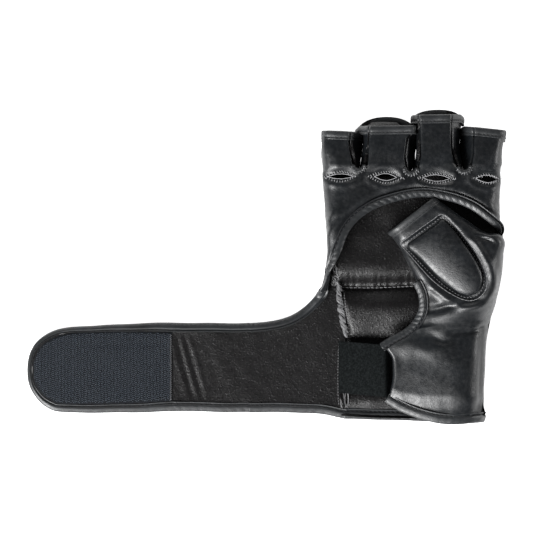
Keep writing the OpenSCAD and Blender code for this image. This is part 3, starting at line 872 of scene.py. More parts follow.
rows = thumb_rows()
grid = np.array([thumb_section(r) for r in rows])
flat = grid.reshape(-1, 3)
# The D-shaped patch, in thumb coordinates
PAD_OUTLINE = [(9.0, 28.4), (10.4, 19), (10.8, 8), (10.2, -4), (8.8, -13.4), (5.8, -21), (0.4, -25.4),
               (-6.4, -25.7), (-12, -21.4), (-16, -12.6), (-18.8, -2), (-20.3, 9), (-21.4, 20),
               (-22.0, 29.4), (-17, 29.7), (-6, 29.3), (3.4, 28.9)]
centre = Vector(world(-5, 2.5))
pad_loop = [Vector(world(*p)) for p in PAD_OUTLINE]
pad_line = spline(pad_loop, 1.0, closed=True)
pad_far = near_line(flat, pad_line)[0]
pad_in = inside(flat[:, :2], pad_loop)
side = smooth(0.5 + (flat[:, 0] - world(-5, 2.5)[0] - 0.9 * (flat[:, 1] - world(-5, 2.5)[1])) / 14)
relief = 0.4 * waves(flat, 24, 8) + 0.1 * waves(flat, 11, 9)
relief -= 1.7 * np.exp(-((pad_far - 0.2) / 1.2) ** 2) + 3.2 * smooth(pad_far / 3) * pad_in
relief += ~pad_in * (0.3 + 1.5 * side) * np.exp(-((pad_far - 4.6 - side) / 2.6) ** 2)
hem_y = np.interp(flat[:, 0], [q[0] for q in HEM_LINE], [q[1] for q in HEM_LINE])
relief -= 2.6 * (1 - smooth((flat[:, 1] - hem_y + 1.0) / 11)) * smooth((flat[:, 2] - 5) / 8)
for line, width, size in (
        [[(12, -19), (17, -18.6), (22, -16.8), (27, -14.6)], 3.2, 0.7],
        [[(10, -23.6), (16, -22.8), (24, -20.4), (33, -18.4), (49, -15.5)], 2.4, -1.5],
        [[(12, -29), (22, -27.5), (34, -25), (45, -23)], 5.0, 1.5],
        [[(25, -38.5), (34, -37.8), (43, -36.5), (50, -33)], 2.1, -1.6],
        [[(10, -38), (19, -43.5), (28, -43), (36, -41)], 3.0, -0.9],
        [[(2, -36), (14, -36.5), (26, -34), (38, -32)], 3.0, 0.6],
        [[(-2, -46), (8, -49), (24, -48)], 4.0, 0.5],
        [[(40, 24.8), (46, 24.2), (52, 22), (55, 19)], 1.3, -1.2],
        [[(42, 27.5), (48, 26.0), (54, 23.5)], 1.6, 0.8],
        [[(53, 12), (53.5, 2), (50, -8), (46, -14)], 3.0, 0.6],
        [[(4, -2), (0, 6), (-4, 14), (-8, 22)], 1.8, 0.6],
        [[(10, -18), (9.5, -10), (7, -3), (3, 5)], 3.2, 0.5],
        [[(46.2, -32), (45.6, -50), (45.2, -70), (45.8, -88)], 0.9, -0.9],
        [[(47.6, -32), (47.1, -50), (46.8, -70), (47.2, -88)], 0.8, 0.6]):
    relief += fold(flat, line, width, size)
grid = push(grid, relief)
thumb_top = shell("thumb_side_leather", grid, 1.4, LEATHER, inner_mat=LINING)
attach(thumb_top, "thumb", "leather", "thumb_side_leather", "thumb_sleeve")
thumb_z = height(thumb_top)

# Under side of the sleeve, from its left wall to its right wall
first = next(i for i, r in enumerate(rows) if r[7] > 4)
under = []
for r, sec in zip(rows[first:], grid[first:]):
    a, b = sec[0], sec[-1]
    u = np.linspace(0, 1, 30)[:, None]
    dip = np.array([0, 0, -1.6]) * np.sin(math.pi * u) ** 0.5
    under.append(a + (b - a) * u + dip)
under = np.array(under)[:, ::-1]
attach(shell("thumb_sleeve_under", under, 1.2, LEATHER, inner_mat=LINING), "thumb", "leather")

# Hem round the sleeve's mouth
tip, tip_in = grid[-1], grid[-6]
ring = np.concatenate([tip, under[-1][1:-1]])
back = np.concatenate([tip_in, under[-6][1:-1]])
axis = unit(ring.mean(0) - back.mean(0))


def hem(name, loop, way, width, proud=0.7, lip=1.3):
    """A folded band round a mouth, and its line of stitches. loop is the mouth's ring of points, way the
    outward direction, proud the band's height and lip its thickness inside."""
    p = np.asarray(loop)
    out = unit(np.cross(np.roll(p, -1, 0) - np.roll(p, 1, 0), way))
    if ((p - p.mean(0)) * out).sum() < 0:
        out = -out
    # Section of the band, as the share of its width and then mm along the way, and mm outwards
    section = [
        (1.0, -0.25, -0.5), (1.0, 0, proud * 0.7), (0.93, 0, proud), (0.82, 0, proud * 0.72),
        (0.74, 0, proud * 0.45), (0.66, 0, proud * 0.8), (0.45, 0, proud * 1.15), (0.2, 0, proud * 1.1),
        (0, -0.25, proud * 0.75), (0, 0.15, 0.0), (0, 0, -lip * 0.7), (0, -0.6, -lip),
        (0.5, 0, -lip * 1.15), (1.0, 0, -lip)]
    g = np.array([p + way * (more - width * k) + out * b for k, more, b in section])
    band = make(name, g.reshape(-1, 3), ring_faces(*g.shape[:2], wrap=True), HEM, crisp=75)
    return band, p - way * (width * 0.75) + out * (proud * 0.5)


band, seam = hem("thumb_binding", ring, axis, 5.2)
attach(band, "thumb", "binding_leather", "thumb_binding")
stitch("thumb_binding_stitches", "thumb", DARK_THREAD, (seam[3:-3], 2.6, 1.7, 0.25, 0.12, 0.05))

# Padded patch: a pillow inside a stitched groove. The simulation adds the rest of its rise.
PAD_RISE = 3.6
pad_edge = [centre + (p - centre) * 0.955 + Vector((0.35, 0.3))
            for p in spline(pad_loop, 0.9, closed=True)[:-1]]
verts, faces = pillow_mesh(pad_edge, 1.2, 29.4, PAD_RISE, 2.6)
tilt = (verts[:, 0] - centre.x) * C + (verts[:, 1] - centre.y) * S
verts[:, 2] += 0.2 * waves(verts, 22, 21) + 0.19 * tilt
pillow = make("thumb_pad", verts, faces, LEATHER)
inflate(pillow, 1.5, 1.5)
attach(pillow, "thumb", "leather", "thumb_pad_base", "thumb_pad_tip")
outer = [Vector(centre + (p - centre) * (1 + 2.2 / (p - centre).length)) for p in pad_line]
wobble = [Vector((p.x + random.uniform(-0.15, 0.15), p.y + random.uniform(-0.15, 0.15))) for p in outer]
bits = Bits()
bits.thread(on(thumb_z, wobble, 0.1, 30), 0.14, 5)
bits.row(on(thumb_z, outer, 0.0, 30), 3.1, 2.0, 0.2, 0.16, 0.12, 0.15)
attach(bits.piece("thumb_pad_edge_stitches", GREY_THREAD), "thumb", "seam_thread")
stitch("thumb_pad_groove_stitches", "thumb", GREY_THREAD,
       (on(thumb_z, pad_line, 0.3, 30), 2.2, 0.9, 0.2, 0.1, 0.1, 0.1))

THUMB_EDGE = [(-19.4, -47.6, 18.6), (-12.4, -43.0, 19.2), (-4.4, -38.6, 19.8), (1.6, -33.6, 20.6),
              (5.6, -27.6, 22.0), (7.4, -20.7, 23.9), (6.4, -12, 25.1), (3.2, -4.6, 25.7)]
binding("thumb_side_binding", THUMB_EDGE, 6.0, 2.0, "thumb", ["thumb_side_binding"],
        pucker=0.5, flip=-1, seed=9, pitch=3.3, lean=1.5, full=0.9, step=0.45)
turn = grid[0][8:]
wrist_path = spline([(x, y + 3.0, z + 0.2) for x, y, z in [*turn[:-3:4], turn[-3]]], 0.55)
slope = np.gradient(xyz(wrist_path), axis=0)
wrist_ups = [Vector((-d[2], 0, d[0])).normalized() for d in slope]
binding("wrist_binding", wrist_path, 7.0, 2.0, "hand", ["wrist_binding"],
        pucker=0.12, flip=1, seed=12, pitch=5.0, full=0.7, ups=wrist_ups)

# ---------------------------------------------------------------- fingers

# Each edge is a table of (y, x): the palm side's left and right, and the back's left and right. An outer side
# has no seam. The hem's y is at its left and right, and the back reaches beyond it by the arch.
FINGERS = {
    "little": dict(
        pl=[(68, -57), (96, -58)], pr=[(70, -38.2), (78, -39.8), (86, -41.4), (96, -41.4)],
        bl=[(68, -58.9), (80, -60.0), (90, -59.8), (96, -58.8)], br=[(68, -35.6), (82, -32.8), (96, -32.6)],
        hem=(95.2, 94.0), arch=0.6, crotch=(None, -35.4)),
    "ring": dict(
        pl=[(70, -30.6), (78, -29.4), (98, -27.9)],
        pr=[(70, -4.0), (78, -5.0), (90, -3.6), (95, 0.2), (99, 0.6)],
        bl=[(68, -35.1), (82, -32.3), (93, -32.3), (97, -36.4), (110, -37.0)],
        br=[(66, -1.2), (76, 1.95), (99, 3.2)],
        hem=(98.0, 98.4), arch=6.4, crotch=(-35.4, -0.9)),
    "middle": dict(
        pl=[(70, 4.0), (78, 5.2), (106, 4.9)],
        pr=[(69, 30.4), (74, 28.2), (80, 26.4), (86, 25.7), (106, 25.3)],
        bl=[(66, -0.6), (76, 2.1), (99, 3.4), (102, 0.2), (110, 0.0)],
        br=[(68, 33.8), (80, 31.6), (98.5, 31.7), (102, 33.3), (110, 33.6)],
        hem=(105.2, 105.8), arch=3.8, crotch=(-0.9, 34.1)),
    "index": dict(
        pl=[(69, 37.4), (74, 39.2), (80, 40.3), (98, 40.6)], pr=[(68, 56), (96, 59)],
        bl=[(68, 34.3), (80, 32.1), (98, 32.0)], br=[(68, 58.2), (88, 59.8), (92, 60.4), (96, 61.2)],
        hem=(98.2, 95.2), arch=0.8, crotch=(34.1, None)),
}
# Where the tubes start along the hand
ROOT_Y = 68


def outer_side(x, h, way, r):
    """Palm side that turns down over a rounded edge, as (x, z) from the top to the back."""
    turn = [(x - way * r * (1 - math.sin(a)), h - r * (1 - math.cos(a))) for a in (0.1, 0.45, 0.8, 1.15, 1.5)]
    return turn + [(x, 10.5), (x, 6.8), (x - way * 1.2, 2.9), (x - way * 5, 1.3)]


def seam_side(edge, x, h, way):
    """Palm side that ends at a seam, with a strip of leather from there down to the back at x."""
    k = min(1, abs(x - edge) / 4.5)
    low = h - 3.4 - min(abs(x - edge), 9) * 1.25
    return [(edge - way * 1.6, h), (edge - way * 0.55 * k, h - 0.5),
            (edge + way * 0.1 * k, h - 2.7 * k - 0.6), (edge + way * 0.95 * k, h - 2.0 * k - 0.7),
            ((edge + x) / 2 + way * 0.4 * k, (h + low) / 2 - 1.2),
            (x - way * 0.1, low - 1.5), (x, 6.8), (x - way * 1.2, 2.9), (x - way * 5, 1.3)]


def finger_section(f, y):
    """Closed ring round the finger at y: down the right side, under the back and up the left side."""
    pl, pr, bl, br = (np.interp(y, *zip(*f[k])) for k in ("pl", "pr", "bl", "br"))
    u = min(max((y - ROOT_Y) / 5, 0), 1)
    near = 1 - math.sqrt(1 - (1 - u) ** 2)
    h = PALM_Z + finger_rise(y) - 0.9 * smooth((y - 76) / 16)
    r = CORNER - 3.4 * smooth((y - ROOT_Y) / 22)
    sides = []
    for edge, x, crotch, way in ((pr, br, f["crotch"][1], 1), (pl, bl, f["crotch"][0], -1)):
        if crotch is None:
            sides.append(outer_side(x, h, way, r))
        else:
            start = edge + (crotch - way * 0.3 - edge) * near
            sides.append(seam_side(start, x, h + palm_crown(edge), way))
    right, left = sides
    a, b = left[0][0], right[0][0]
    top = [(x, h + palm_crown(x)) for x in (a + (b - a) * k for k in (0.2, 0.4, 0.6, 0.8))]
    pts = top + right + [((bl + br) / 2, 1.1)] + left[::-1]
    n, v = len(pts), [np.array(q) for q in pts]
    return np.array([catmull(v[i - 1], v[i], v[(i + 1) % n], v[(i + 2) % n], k / 5)
                     for i in range(n) for k in range(5)])


def finger_mouth(f, x, z):
    """The y of a tube's mouth at the points (x, z) of a section. Its back reaches out in an arch."""
    q = (x - x.min()) / (x.max() - x.min())
    edge, low = f["hem"][0] * (1 - q) + f["hem"][1] * q, smooth((22 - z) / 9)
    return edge + f["arch"] * low * (1 - np.abs(2 * q - 1) ** 2.3) - 1.8 * low * (2 * q - 1) ** 6


for number, (name, f) in enumerate(FINGERS.items()):
    steps = np.concatenate([np.linspace(0, 0.2, 11), np.linspace(0.235, 1.0, 28)])
    rings = []
    for t in steps:
        x, z = finger_section(f, ROOT_Y + t * (np.mean(f["hem"]) - ROOT_Y)).T
        rings.append(np.column_stack([x, ROOT_Y + t * (finger_mouth(f, x, z) - ROOT_Y), z]))
    g = np.array(rings)
    flat = g.reshape(-1, 3)
    over = smooth((flat[:, 2] - 21) / 4)
    h = skin(flat) * over + vent_relief(flat[:, :2]) * over
    h += 0.55 * waves(flat, 13, 40 + number) * smooth((flat[:, 1] - 69) / 4) * (1 - 0.6 * over)
    g = push(g, h.reshape(g.shape[:2]), closed=True)
    tube = shell(f"{name}_leather", g, 1.3, LEATHER, closed=True, inner_mat=LINING)
    attach(tube, name, "leather", f"{name}_leather", f"{name}_loop")
    band, seam = hem(f"{name}_binding", g[-1], np.array([0.0, 1.0, 0.0]), 5.6)
    attach(band, name, "binding_leather", f"{name}_binding")
    stitch(f"{name}_binding_stitches", name, DARK_THREAD, (seam, 2.7, 1.8, 0.25, 0.1, 0.05))

    # The pad under its lining, along the back of the tube
    l, r = f["bl"][0][1] + 3.0, f["br"][0][1] - 3.0
    end = np.mean(f["hem"]) + f["arch"] - 2.4
    u = np.linspace(-1, 1, 15)
    rim = [Vector(((l + r) / 2 + (r - l) / 2 * k, end - 3.4 * abs(k) ** 3)) for k in u]
    rim += [Vector(((l + r) / 2 + (r - l) / 2 * k, 61.0 + 2.5 * abs(k) ** 3)) for k in u[::-1]]
    verts, faces = pillow_mesh(even([*rim, rim[0]], 1.6)[:-1], 1.8, 4.6, 6.0, 1.6)
    pad = make(f"{name}_pad", verts, faces, LINING)
    inflate(pad, 2.4, 1.1)
    attach(pad, name, "lining_cloth", f"{name}_foam", f"{name}_lining")

# Folded edge of the strips between the fingers, with overcast stitches at the bottom
# Section of a web's folded edge as (out, up), and a stitch over it as (out, to the right, up)
WEB_STITCH = ((1.9, 0, 0.25), (0.9, 0.2, 1.1), (-0.3, 0.4, 1.0), (-0.9, 0.5, -0.6))
WEB_EDGE = ((1.3, -0.3), (1.0, 0.35), (0.45, 0.75), (-0.15, 0.6), (-0.55, -0.2), (-0.7, -2.0),
            (-0.8, -5), (-0.8, -10), (-0.7, -17), (-0.6, -24))
for name, x, y in (("web_little_ring", -35.4, 68.7), ("web_ring_middle", -0.9, 66.6),
                   ("web_middle_index", 34.1, 67.6)):
    z0 = PALM_Z + palm_crown(x) + 0.9
    turn = np.linspace(-1.35, 1.35, 40)
    rope = 0.32 * np.sin(np.arange(40) * 1.5 + 0.6 * x)
    g = np.array([np.column_stack([x + (4.0 + out) * np.sin(turn),
                                   y + 0.3 + 4.4 - (4.4 + out) * np.cos(turn),
                                   z0 + up + rope * (up > -1)]) for out, up in WEB_EDGE])
    attach(shell(name, g[::-1], 0.8, BINDING), "hand", "binding_leather", name)
    bits = Bits()
    for a in np.linspace(-1.0, 1.0, 7):
        c, d = math.sin(a), -math.cos(a)
        px, py = x + 4.3 * c, y + 4.4 * (1 - math.cos(a))
        bits.thread([(px + c * k + shift, py + d * k, z0 + up) for k, shift, up in WEB_STITCH], 0.17)
    # Only the ring-middle web takes the pale thread, whose paleness is partly a painted glint
    thread = PALE_GLINT_THREAD if name == "web_ring_middle" else GREY_THREAD
    attach(bits.piece(name + "_stitches", thread), "hand", "seam_thread")

# A row of pale stitches down the right side of the ring finger's palm side; their paleness is partly a
# painted glint
line = spline([(-5.0, 91.5), (-5.4, 86), (-6.1, 79), (-5.6, 73.5), (-4.2, 70.2)], 0.8)
stitch("ring_side_stitches", "ring", PALE_GLINT_THREAD,
       (on(height(bpy.data.objects["ring_leather"]), line, 0.05, 28), 2.3, 1.5, 0.22, 0.1))

# ---------------------------------------------------------------- lining, elastic and seam inside the hand

# Height along the hand: the knuckle pad ends at the quilting, and the wrist pad rises and falls to the
# elastic. Then the lining's left edge, as (y, x).
PADS = [(66, 12.2), (40, 12.4), (12, 12.6), (5, 12.3), (1.5, 11.3), (-1.5, 9.0), (-4, 6.0), (-5.8, 4.7),
        (-7.4, 4.6), (-9.2, 5.7), (-12, 7.8), (-17, 9.8), (-22, 10.3), (-28, 9.5), (-34, 7.7), (-39.5, 5.6),
        (-45, 4.4), (-60, 4.4), (-76, 5.6), (-82, 6.0), (-86, 5.0), (-90, 3.0)]
LINING_LEFT = [(66, -54.5), (9.9, -54.5), (-5, -54.0), (-10, -50.8), (-23, -47.6), (-41, -44.2),
               (-52, -46.0), (-62, -47.8), (-90, -47.2)]


def quilt_y(x):
    """The quilting lines wind a little across the hand."""
    return 1.1 * np.sin(x / 19)


pads = xyz(spline([(a, b, 0) for a, b in PADS], 0.5))
u, v = np.meshgrid(np.linspace(0, 1, 120), np.linspace(66, -90, 200))
left = np.interp(-v, [-q[0] for q in LINING_LEFT], [q[1] for q in LINING_LEFT])
right = 54.5 * (1 - 0.14 * smooth((-v - 5) / 45))
x = left + (right - left) * u
z = np.interp(-v, -pads[:, 0], pads[:, 1])
z += 1.3 * np.clip(1 - (np.abs(x) / 54) ** 2, 0, 1)
z -= np.where(v > 0, 3.0, 2.4) * (1 - smooth(u * (right - left) / 7)) * smooth((z - 4.6) / 3)
g = np.stack([x, v + quilt_y(x), z], 2)
g[:, :, 2] += (0.35 * waves(g.reshape(-1, 3), 22, 70)).reshape(v.shape)
pucker = np.exp(-((v + 4.0) / 4.5) ** 2)
g[:, :, 2] += 0.2 * pucker * np.sin(x * 1.1 + np.sin(x * 0.31) * 2)
lining = shell("hand_lining", g[:, ::-1], 0.9, LINING)
attach(lining, "hand", "lining_cloth", "hand_lining", "knuckle_foam", "back_hand_foam", "wrist_foam")
lining_z = height(lining)
quilting = [on(lining_z, [(a, y + quilt_y(a)) for a in np.linspace(left_x, 50, 90)], 0.1, 5)
            for y, left_x in ((-7.4, -47), (-4.9, -49))]
stitch("lining_quilt_stitches", "hand", GREY_THREAD,
       (quilting[0], 2.9, 2.0, 0.3, 0.15), (quilting[1], 2.4, 0.7, 0.15, 0.1))

u, v = np.meshgrid(np.linspace(0, 1, 40), np.linspace(0, 1, 60))
x = -48.4 + 37 * u
top_y, low_y = -43.6 - 3.3 * u, -77.9 - 3.4 * u
y = top_y + (low_y - top_y) * v
z = 10.6 + 2.6 * smooth(u * 1.3) + 0.5 * np.sin(math.pi * v) + 0.06 * np.sin(x * 5.2)
z -= 6.5 * smooth((u - 0.82) / 0.18)
g = np.stack([x, y, z], 2)
band = shell("wrist_elastic", g[:, ::-1], 1.1, ELASTIC)
attach(band, "hand", "elastic", "wrist_elastic")

# The seam allowance stands up along the left, under a twisted, frayed ribbon of overlock threads
SEAM = [(-51.6, 10.0), (-50.6, 3), (-48.6, -6.6), (-47.4, -15), (-46.0, -23), (-44.2, -34), (-43.0, -41),
        (-45.4, -56), (-47.0, -70), (-46.6, -80), (-44.6, -88)]
line = spline(SEAM, 1.0)
tall = [1.6 + 0.5 * math.sin(i * 0.21) + 0.25 * math.sin(i * 0.9) for i in range(len(line))]
g = np.array([[(p.x + 0.3 - (0.8 + 0.4 * math.sin(i * 0.3)) * k / 5, p.y, 7.2 + h * k / 5)
               for k in range(6)] for i, (p, h) in enumerate(zip(line, tall))])
attach(shell("strap_seam", g, 0.7, LINING), "hand", "lining_cloth", "strap_seam")


def ribbon(points, wide, count, z, size):
    """Threads that wind round each other along a line."""
    run = even([Vector(q) for q in points], 0.7)
    for _ in range(count):
        a, b, c = random.uniform(0, 6.3), random.uniform(5.5, 9.0), random.uniform(0.5, 1.0) * wide / 2
        out = []
        for i, p in enumerate(run):
            w = 2 * math.pi * i * 0.7 / b + a
            dip = math.sin(math.pi * i / (len(run) - 1)) ** 0.4
            out.append((p.x + c * math.sin(w) * dip, p.y + 0.5 * math.cos(w * 1.3),
                        max(z, lining_z(p.x, p.y, z)) + 0.6 + 0.7 * math.cos(w) * dip))
        bits.thread(out, size * random.uniform(0.7, 1.25), 5)


bits = Bits()
ribbon([(-48.6, -6.4), (-48.0, -14), (-46.8, -23), (-45.2, -33), (-43.2, -40.8)], 4.4, 14, 8.8, 0.24)
ribbon([(-51.4, 9.5), (-50.2, 5), (-49.0, -0.5)], 1.6, 5, 8.6, 0.2)
ribbon([(-51.8, -1.5), (-50.0, -3.0), (-48.4, -7.0)], 1.8, 5, 8.6, 0.2)
# Loose loops of thread, as centre and size
for x, y, w, h in ((-50.6, -2.2, 1.9, 1.5), (-51.6, -5.6, 1.5, 1.2), (-50.8, 4.0, 1.2, 1.8),
                   (-46.0, -82.5, 1.1, 5.0), (-43.2, -82.0, 1.2, 5.2)):
    z = lining_z(x, y, 6) + 1.4
    loop = [(x + w * math.cos(a), y + h * math.sin(a), z + 0.4 * math.sin(2 * a))
            for a in np.linspace(-1.4, 4.4, 22)]
    for shift in (0.0, 0.35):
        bits.thread([(a + shift, b - shift, c + shift * 0.5) for a, b, c in loop], 0.2, 5)


def scatter(*spans):
    """A random vector, with each coordinate in its span."""
    return Vector([random.uniform(*span) for span in spans])


# Short frayed ends, two for each point of the seam above the elastic
for p in line:
    if p.y < -41:
        continue
    for _ in range(2):
        a = Vector((*p[:2], 9.6)) + scatter((-0.9, 1.2), (-0.8, 0.8), (-0.4, 0.8))
        way = scatter((-0.6, 1.0), (-1.6, 0.6), (-0.2, 0.5)).normalized()
        size = random.uniform(0.9, 2.4)
        mid = a + way * size * 0.55 + Vector((0.2, 0, 0.2))
        end = a + way * size + Vector((random.uniform(-0.6, 0.6), random.uniform(-0.7, 0.7), -0.3))
        bits.thread([a, mid, end], random.uniform(0.08, 0.15), 5)
attach(bits.piece("strap_seam_threads", GREY_THREAD), "hand", "seam_thread")
inner = spline([(-45.0, -9.5), (-44.0, -18), (-42.6, -28), (-41.2, -38)], 0.8)
low_row = [(-48.2, -44.5, 7.4), (-48.6, -56, 7.4), (-48.8, -68, 7.4), (-48.6, -80, 7.4), (-48.2, -86, 7.4)]
stitch("strap_seam_stitches", "hand", GREY_THREAD,
       (on(lining_z, inner, 0.1, 9), 1.9, 1.2, 0.22, 0.12, 0.2), (low_row, 1.9, 1.1, 0.17, 0.1))

# ---------------------------------------------------------------- strap

# Height of the lining's face, and the strap's upper edge, lower edge and tip in plan
FACE = 4.5
UPPER = [(-42.0, 4.0), (-55.0, 0.5), (-58.2, -8.5), *[p[:2] for p in END]]
LOWER = [(-43.5, -92.0), (-48, -91.2), (-61.8, -88.8), (-85, -87.9), (-108, -87.8), (-124, -87.7),
         (-157, -86.9)]
TIP = [(-156, -34.6), (-175, -34.5), (-191.4, -35.0), (-209, -35.6), (-225, -36.3), (-237, -38.8),
       (-246, -44.2), (-250.8, -51.5), (-252.8, -61.5), (-251.8, -72), (-246.5, -80.6), (-239.5, -86.0),
       (-231.8, -88.3), (-211, -88.6), (-191.4, -88.4), (-172, -87.8), (-156, -86.9)]


def line_y(line, x):
    """The y of a line at x."""
    return np.interp(x, *zip(*sorted(line)))


def strap_face(x0, x1, seed):
    """Lining face of the strap from x0 leftwards to x1, edge to edge."""
    xs = np.arange(x0, x1, -1.0)
    inset = np.interp(-xs, [40, 157, 200, 252], [2.5, 2.7, 2.0, 1.2])
    hi = line_y([*UPPER[:-1], *TIP[1:9]], xs) - inset
    lo = line_y([*LOWER[:-1], *TIP[8:-1]], xs) + inset
    k = np.linspace(0, 1, 64)[:, None]
    x = np.tile(xs, (64, 1))
    g = np.stack([x, lo + (hi - lo) * k, np.full_like(x, FACE)], 2)
    p = g.reshape(-1, 3)
    h = 0.28 * waves(p * (1, 0.25, 1), 26, seed) + 0.08 * waves(p, 8, seed + 1)
    h -= 0.6 * np.exp(-((p[:, 0] + 156.5) / 16) ** 2)
    for a, size in ((-1.5, 0.25), (2.2, -0.4), (5.0, 0.3), (8.2, -0.4), (11.5, 0.25)):
        h += fold(p, [(-157 + a * 0.7, -38), (-155 + a, -52), (-150 + a, -70), (-146 + a, -84)], 1.5, size)
    g[:, :, 2] += h.reshape(x.shape) * (1 - np.abs(2 * k - 1) ** 8)
    return g


for name, where, span, nodes in (
        ("strap_root_lining", "fold", (-43.0, ROOT_END), ("strap_root_lining", "strap_lining")),
        ("strap_end_lining", "wrap", (END_START, -251.6), ("strap_end_lining",))):
    obj = shell(name, strap_face(*span, 80)[::-1], 1.0, LINING)
    attach(obj, where, "lining_cloth", *nodes)
    wide = abs(span[1] - span[0]) * MM

# Outer leather of the strap, the side that lies underneath here
for name, where, span in (("strap_leather", "fold", (-46.0, ROOT_END)),
                          ("strap_end_leather", "wrap", (END_START, -251.6))):
    g = strap_face(*span, 90)
    g[:, :, 2] = 0.85 - 0.3 * (g[:, :, 2] - FACE) + 1.1 * smooth((g[:, :, 0] + 66) / 14)
    attach(shell(name, g, 1.3, LEATHER), where, "leather", name)


def level(points, z):
    return [(x, y, z) for x, y in points]


path = spline(level(LOWER, 2.6), 0.55)
split = next(i for i, p in enumerate(path) if p.x < ROOT_END)
binding("strap_binding_lower", path[:split][::-1], 6.4, STRAP_THICK, "fold", ["strap_binding_lower"],
        flip=1, seed=17, **SIDES)
binding("strap_binding_lower_end", path[split - 1:], 6.4, STRAP_THICK, "wrap", [],
        flip=-1, seed=18, **SIDES)
# Width of the tip's binding at each point of TIP, and the share of the way along of each point
TIP_WIDE = [6.4, 5.6, 5.0, 4.4, 3.9, 3.6, 3.4, 3.3, 3.2, 3.4, 4.0, 4.8, 5.2, 5.5, 5.7, 6.2, 6.8]
tip_run = np.concatenate([[0], np.cumsum([math.dist(a, b) for a, b in zip(TIP, TIP[1:])])])
tip_run /= tip_run[-1]
binding("strap_end_binding", level(TIP, 2.6), lambda k: float(np.interp(k, tip_run, TIP_WIDE)),
        STRAP_THICK, "strap_end", ["strap_end_binding"], flip=1, seed=19, pucker=0.12, pitch=7, full=0.8)

# Hook patch: tape with wavy rows of hooks
HOOK = [(-158.6, -38.2), (-175, -37.8), (-191.4, -37.6), (-209, -38.0), (-225, -38.6), (-235.6, -41.2),
        (-243.8, -46), (-248.6, -53), (-250.6, -61.5), (-249.6, -70.6), (-244.8, -78.4), (-238, -83.4),
        (-231, -85.4), (-211, -85.6), (-191.4, -85.2), (-175, -84.4), (-158.6, -83.2)]
hook_line = spline(HOOK, 1.5) + [Vector((-158.6, y)) for y in np.arange(-82, -39, 1.5)]


def tape_place(q):
    return np.column_stack([q[:, 0], q[:, 1], np.full(len(q), FACE + 0.55)])


def tape_relief(flat, laid):
    """Gentle waves, with a pressed line and a thinner edge."""
    dip = np.exp(-(near_line(flat, [(-225, -76), (-225, -46.4), (-163, -45.6)])[0] / 0.7) ** 2)
    edge = np.exp(-from_loop(flat, hook_line) ** 2)
    return 0.22 * waves(laid, 21, 95) - 0.35 * dip - 0.3 * edge


tape = panel("hook_patch", hook_line, tape_place, 1.6, 0.7, TAPE, (), tape_relief)
attach(tape, "strap_end", "hook_tape", "hook_patch")
tape_z = height(tape)
hooks = Bits()
ROW_PITCH, HOOK_PITCH = 1.32, 0.95
for i, y0 in enumerate(np.arange(-87, -36, ROW_PITCH)):
    xs = np.arange(-251, -159, HOOK_PITCH)
    ys = y0 + 0.5 * np.sin(2 * math.pi * xs / 5.3 + 0.25 * math.sin(i * 0.8)) + rng.normal(0, 0.06, len(xs))
    p = np.column_stack([xs + rng.normal(0, 0.06, len(xs)), ys])
    ok = inside(p, hook_line) & (from_loop(p, hook_line) > 0.9)
    for x, y in p[ok]:
        z = tape_z(x, y, FACE) - 0.1
        d = rng.uniform(-0.2, 0.2)
        tall = rng.uniform(0.45, 0.75)
        hook = [(x, y, z), (x + d * 0.5, y + 0.12, z + tall), (x + d, y + 0.48, z + tall * 0.85)]
        hooks.thread(hook, 0.125, 4)
attach(hooks.piece("hook_patch_hooks", HOOKS), "strap_end", "hook_tape")
bits = Bits()
zig = [Vector((-159.4 + (0.6 if k % 2 else -0.6), -82.8 + k * 0.7)) for k in range(63)]
bits.thread(on(tape_z, zig, 0.25, FACE + 0.5), 0.16, 5)
attach(bits.piece("hook_patch_stitches", GREY_THREAD), "strap_end", "seam_thread")

# ---------------------------------------------------------------- back of the hand

BACK = [(58.4, 68), (57.8, 40), (60.2, 26), (60.8, 18), (60.0, 4), (56.8, -13), (53.0, -26), (49.6, -43),
        (47.9, -60), (47.5, -84), (46.6, -94.5), (20, -95), (-20, -94.5), (-41, -93.5), (-56, -91.4),
        (-57.6, -84), (-57.4, -60), (-57.2, -30), (-57.0, -10), (-55.4, 4), (-55.4, 13), (-56.6, 39),
        (-58.6, 68)]
back_line = even(spline(BACK, 1.5), 1.5)
back_loop = back_line + even([back_line[-1], back_line[0]], 1.5)[1:-1]


def back_place(q):
    """The back's sheets are laid out mirrored, because they face down."""
    return np.column_stack([-q[:, 0], q[:, 1], np.zeros(len(q))])


mirror = [Vector((-p.x, p.y)) for p in back_loop]
# Stitched grooves that divide the back's pads
GROOVES = [[(-57, 33), (0, 36), (57, 33)], [(-56, -4), (55, -4)], [(-29, 35), (-31, 68)],
           [(-0.5, 36), (-0.5, 68)], [(29, 35), (32, 68)], [(-30, 33), (-34, -4)], [(30, 33), (34, -4)]]


def back_relief(flat, laid):
    """Minus the height over the resting plane: flat pads that turn up at seams and edges."""
    p = np.column_stack([-flat[:, 0], flat[:, 1]])
    edge = from_loop(p, back_loop)
    joined = smooth((-44 - p[:, 0]) / 6) * smooth((-8 - p[:, 1]) / 8)
    z = 0.35 + 5.5 * (1 - np.clip(edge / 9, 0, 1)) ** 2.2 * (1 - joined)
    for line in GROOVES:
        d = near_line(p, spline(line, 2.0))[0]
        z = np.maximum(z, 2.6 * np.exp(-(d / 2.4) ** 2))
    patch = inside(p, [(-54, -86), (34, -86), (34, -38), (-54, -38)])
    z = np.where(patch, 0.95, z)
    return -(z + 0.12 * waves(laid, 12, 99) * np.clip(edge / 6, 0, 1) * ~patch)


back = panel("back_leather", mirror, back_place, 1.7, 1.3, LEATHER, (), back_relief, LINING)
attach(back, "hand", "leather", "back_leather")

patch = [Vector(p) for p in [(54, -86), (54, -38), (-34, -38), (-34, -86)]]
patch = even([*patch, patch[0]], 1.0)[:-1]


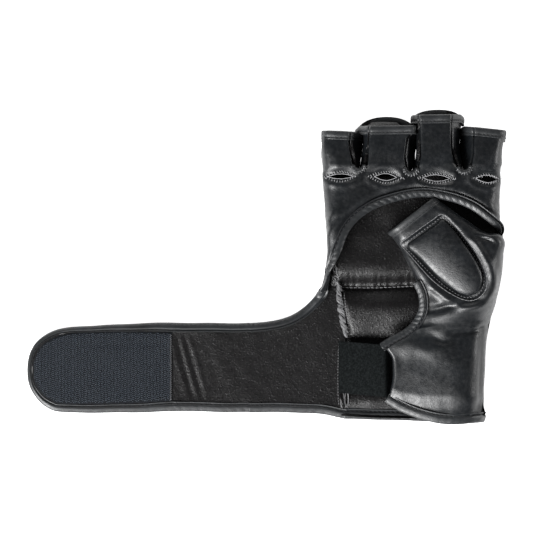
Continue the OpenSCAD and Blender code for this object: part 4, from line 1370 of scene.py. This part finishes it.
def loop_relief(flat, laid):
    """A rough pile that is thinner at its edge."""
    return -0.85 + 0.5 * np.clip(from_loop(flat, patch) / 1.5, 0, 1) ** 0.5 + 0.1 * rng.normal(size=len(flat))


pile = panel("loop_patch", patch, back_place, 0.9, 0.5, LOOP, (), loop_relief)
attach(pile, "hand", "loop_tape", "loop_patch")
bits = Bits()
# Number of loops in the pile, and a loop as (share of its way, z)
PILE = 2600
PILE_LOOP = ((-1, 0.45), (-0.5, 0.12), (0.5, 0.12), (1, 0.45))
for _ in range(PILE):
    x, y = rng.uniform(-53, 33), rng.uniform(-85, -39)
    d = rng.uniform(-0.5, 0.5, 2)
    bits.thread([(x + d[0] * k, y + d[1] * k, z) for k, z in PILE_LOOP], 0.09, 4)
attach(bits.piece("loop_patch_pile", LOOP), "hand", "loop_tape")
square = level([(-52.6, -84.6), (-52.6, -39.4), (32.6, -39.4), (32.6, -84.6), (-52.6, -84.6)], 0.5)
stitch("back_stitches", "hand", DARK_THREAD, (square, 2.8, 1.9, 0.22, -0.12, 0.05, -0.15),
       *((level(spline(line, 2.0)[2:-2], 2.4), 3.2, 2.1, 0.25, -0.1, 0.05, -0.2) for line in GROOVES))
BACK_EDGE = [(42.0, -93.2, 3.0), (30, -93.6, 3.0), (0, -93.0, 3.0), (-22, -92.3, 2.9), (-44.5, -91.8, 2.7)]
binding("back_wrist_binding", BACK_EDGE, 7.2, 3.8, "hand", ["back_wrist_binding"],
        flip=-1, seed=22, pucker=0.14, pitch=6, full=0.8)

# ---------------------------------------------------------------- floor and the end

# Half size and height of the floor, in metres
FLOOR_HALF, FLOOR_Z = 3, -0.0004
floor_mesh = bpy.data.meshes.new("floor")
corners = [(x * FLOOR_HALF, y * FLOOR_HALF, FLOOR_Z) for x, y in ((-1, -1), (1, -1), (1, 1), (-1, 1))]
floor_mesh.from_pydata(corners, [], [(0, 1, 2, 3)])
floor = bpy.data.objects.new("floor", floor_mesh)
floor_mesh.materials.append(material("floor_white", grey(0.9), 0.9, Emission_Color=(1, 1, 1, 1),
                                     Emission_Strength=0.95))
scene.collection.objects.link(floor)
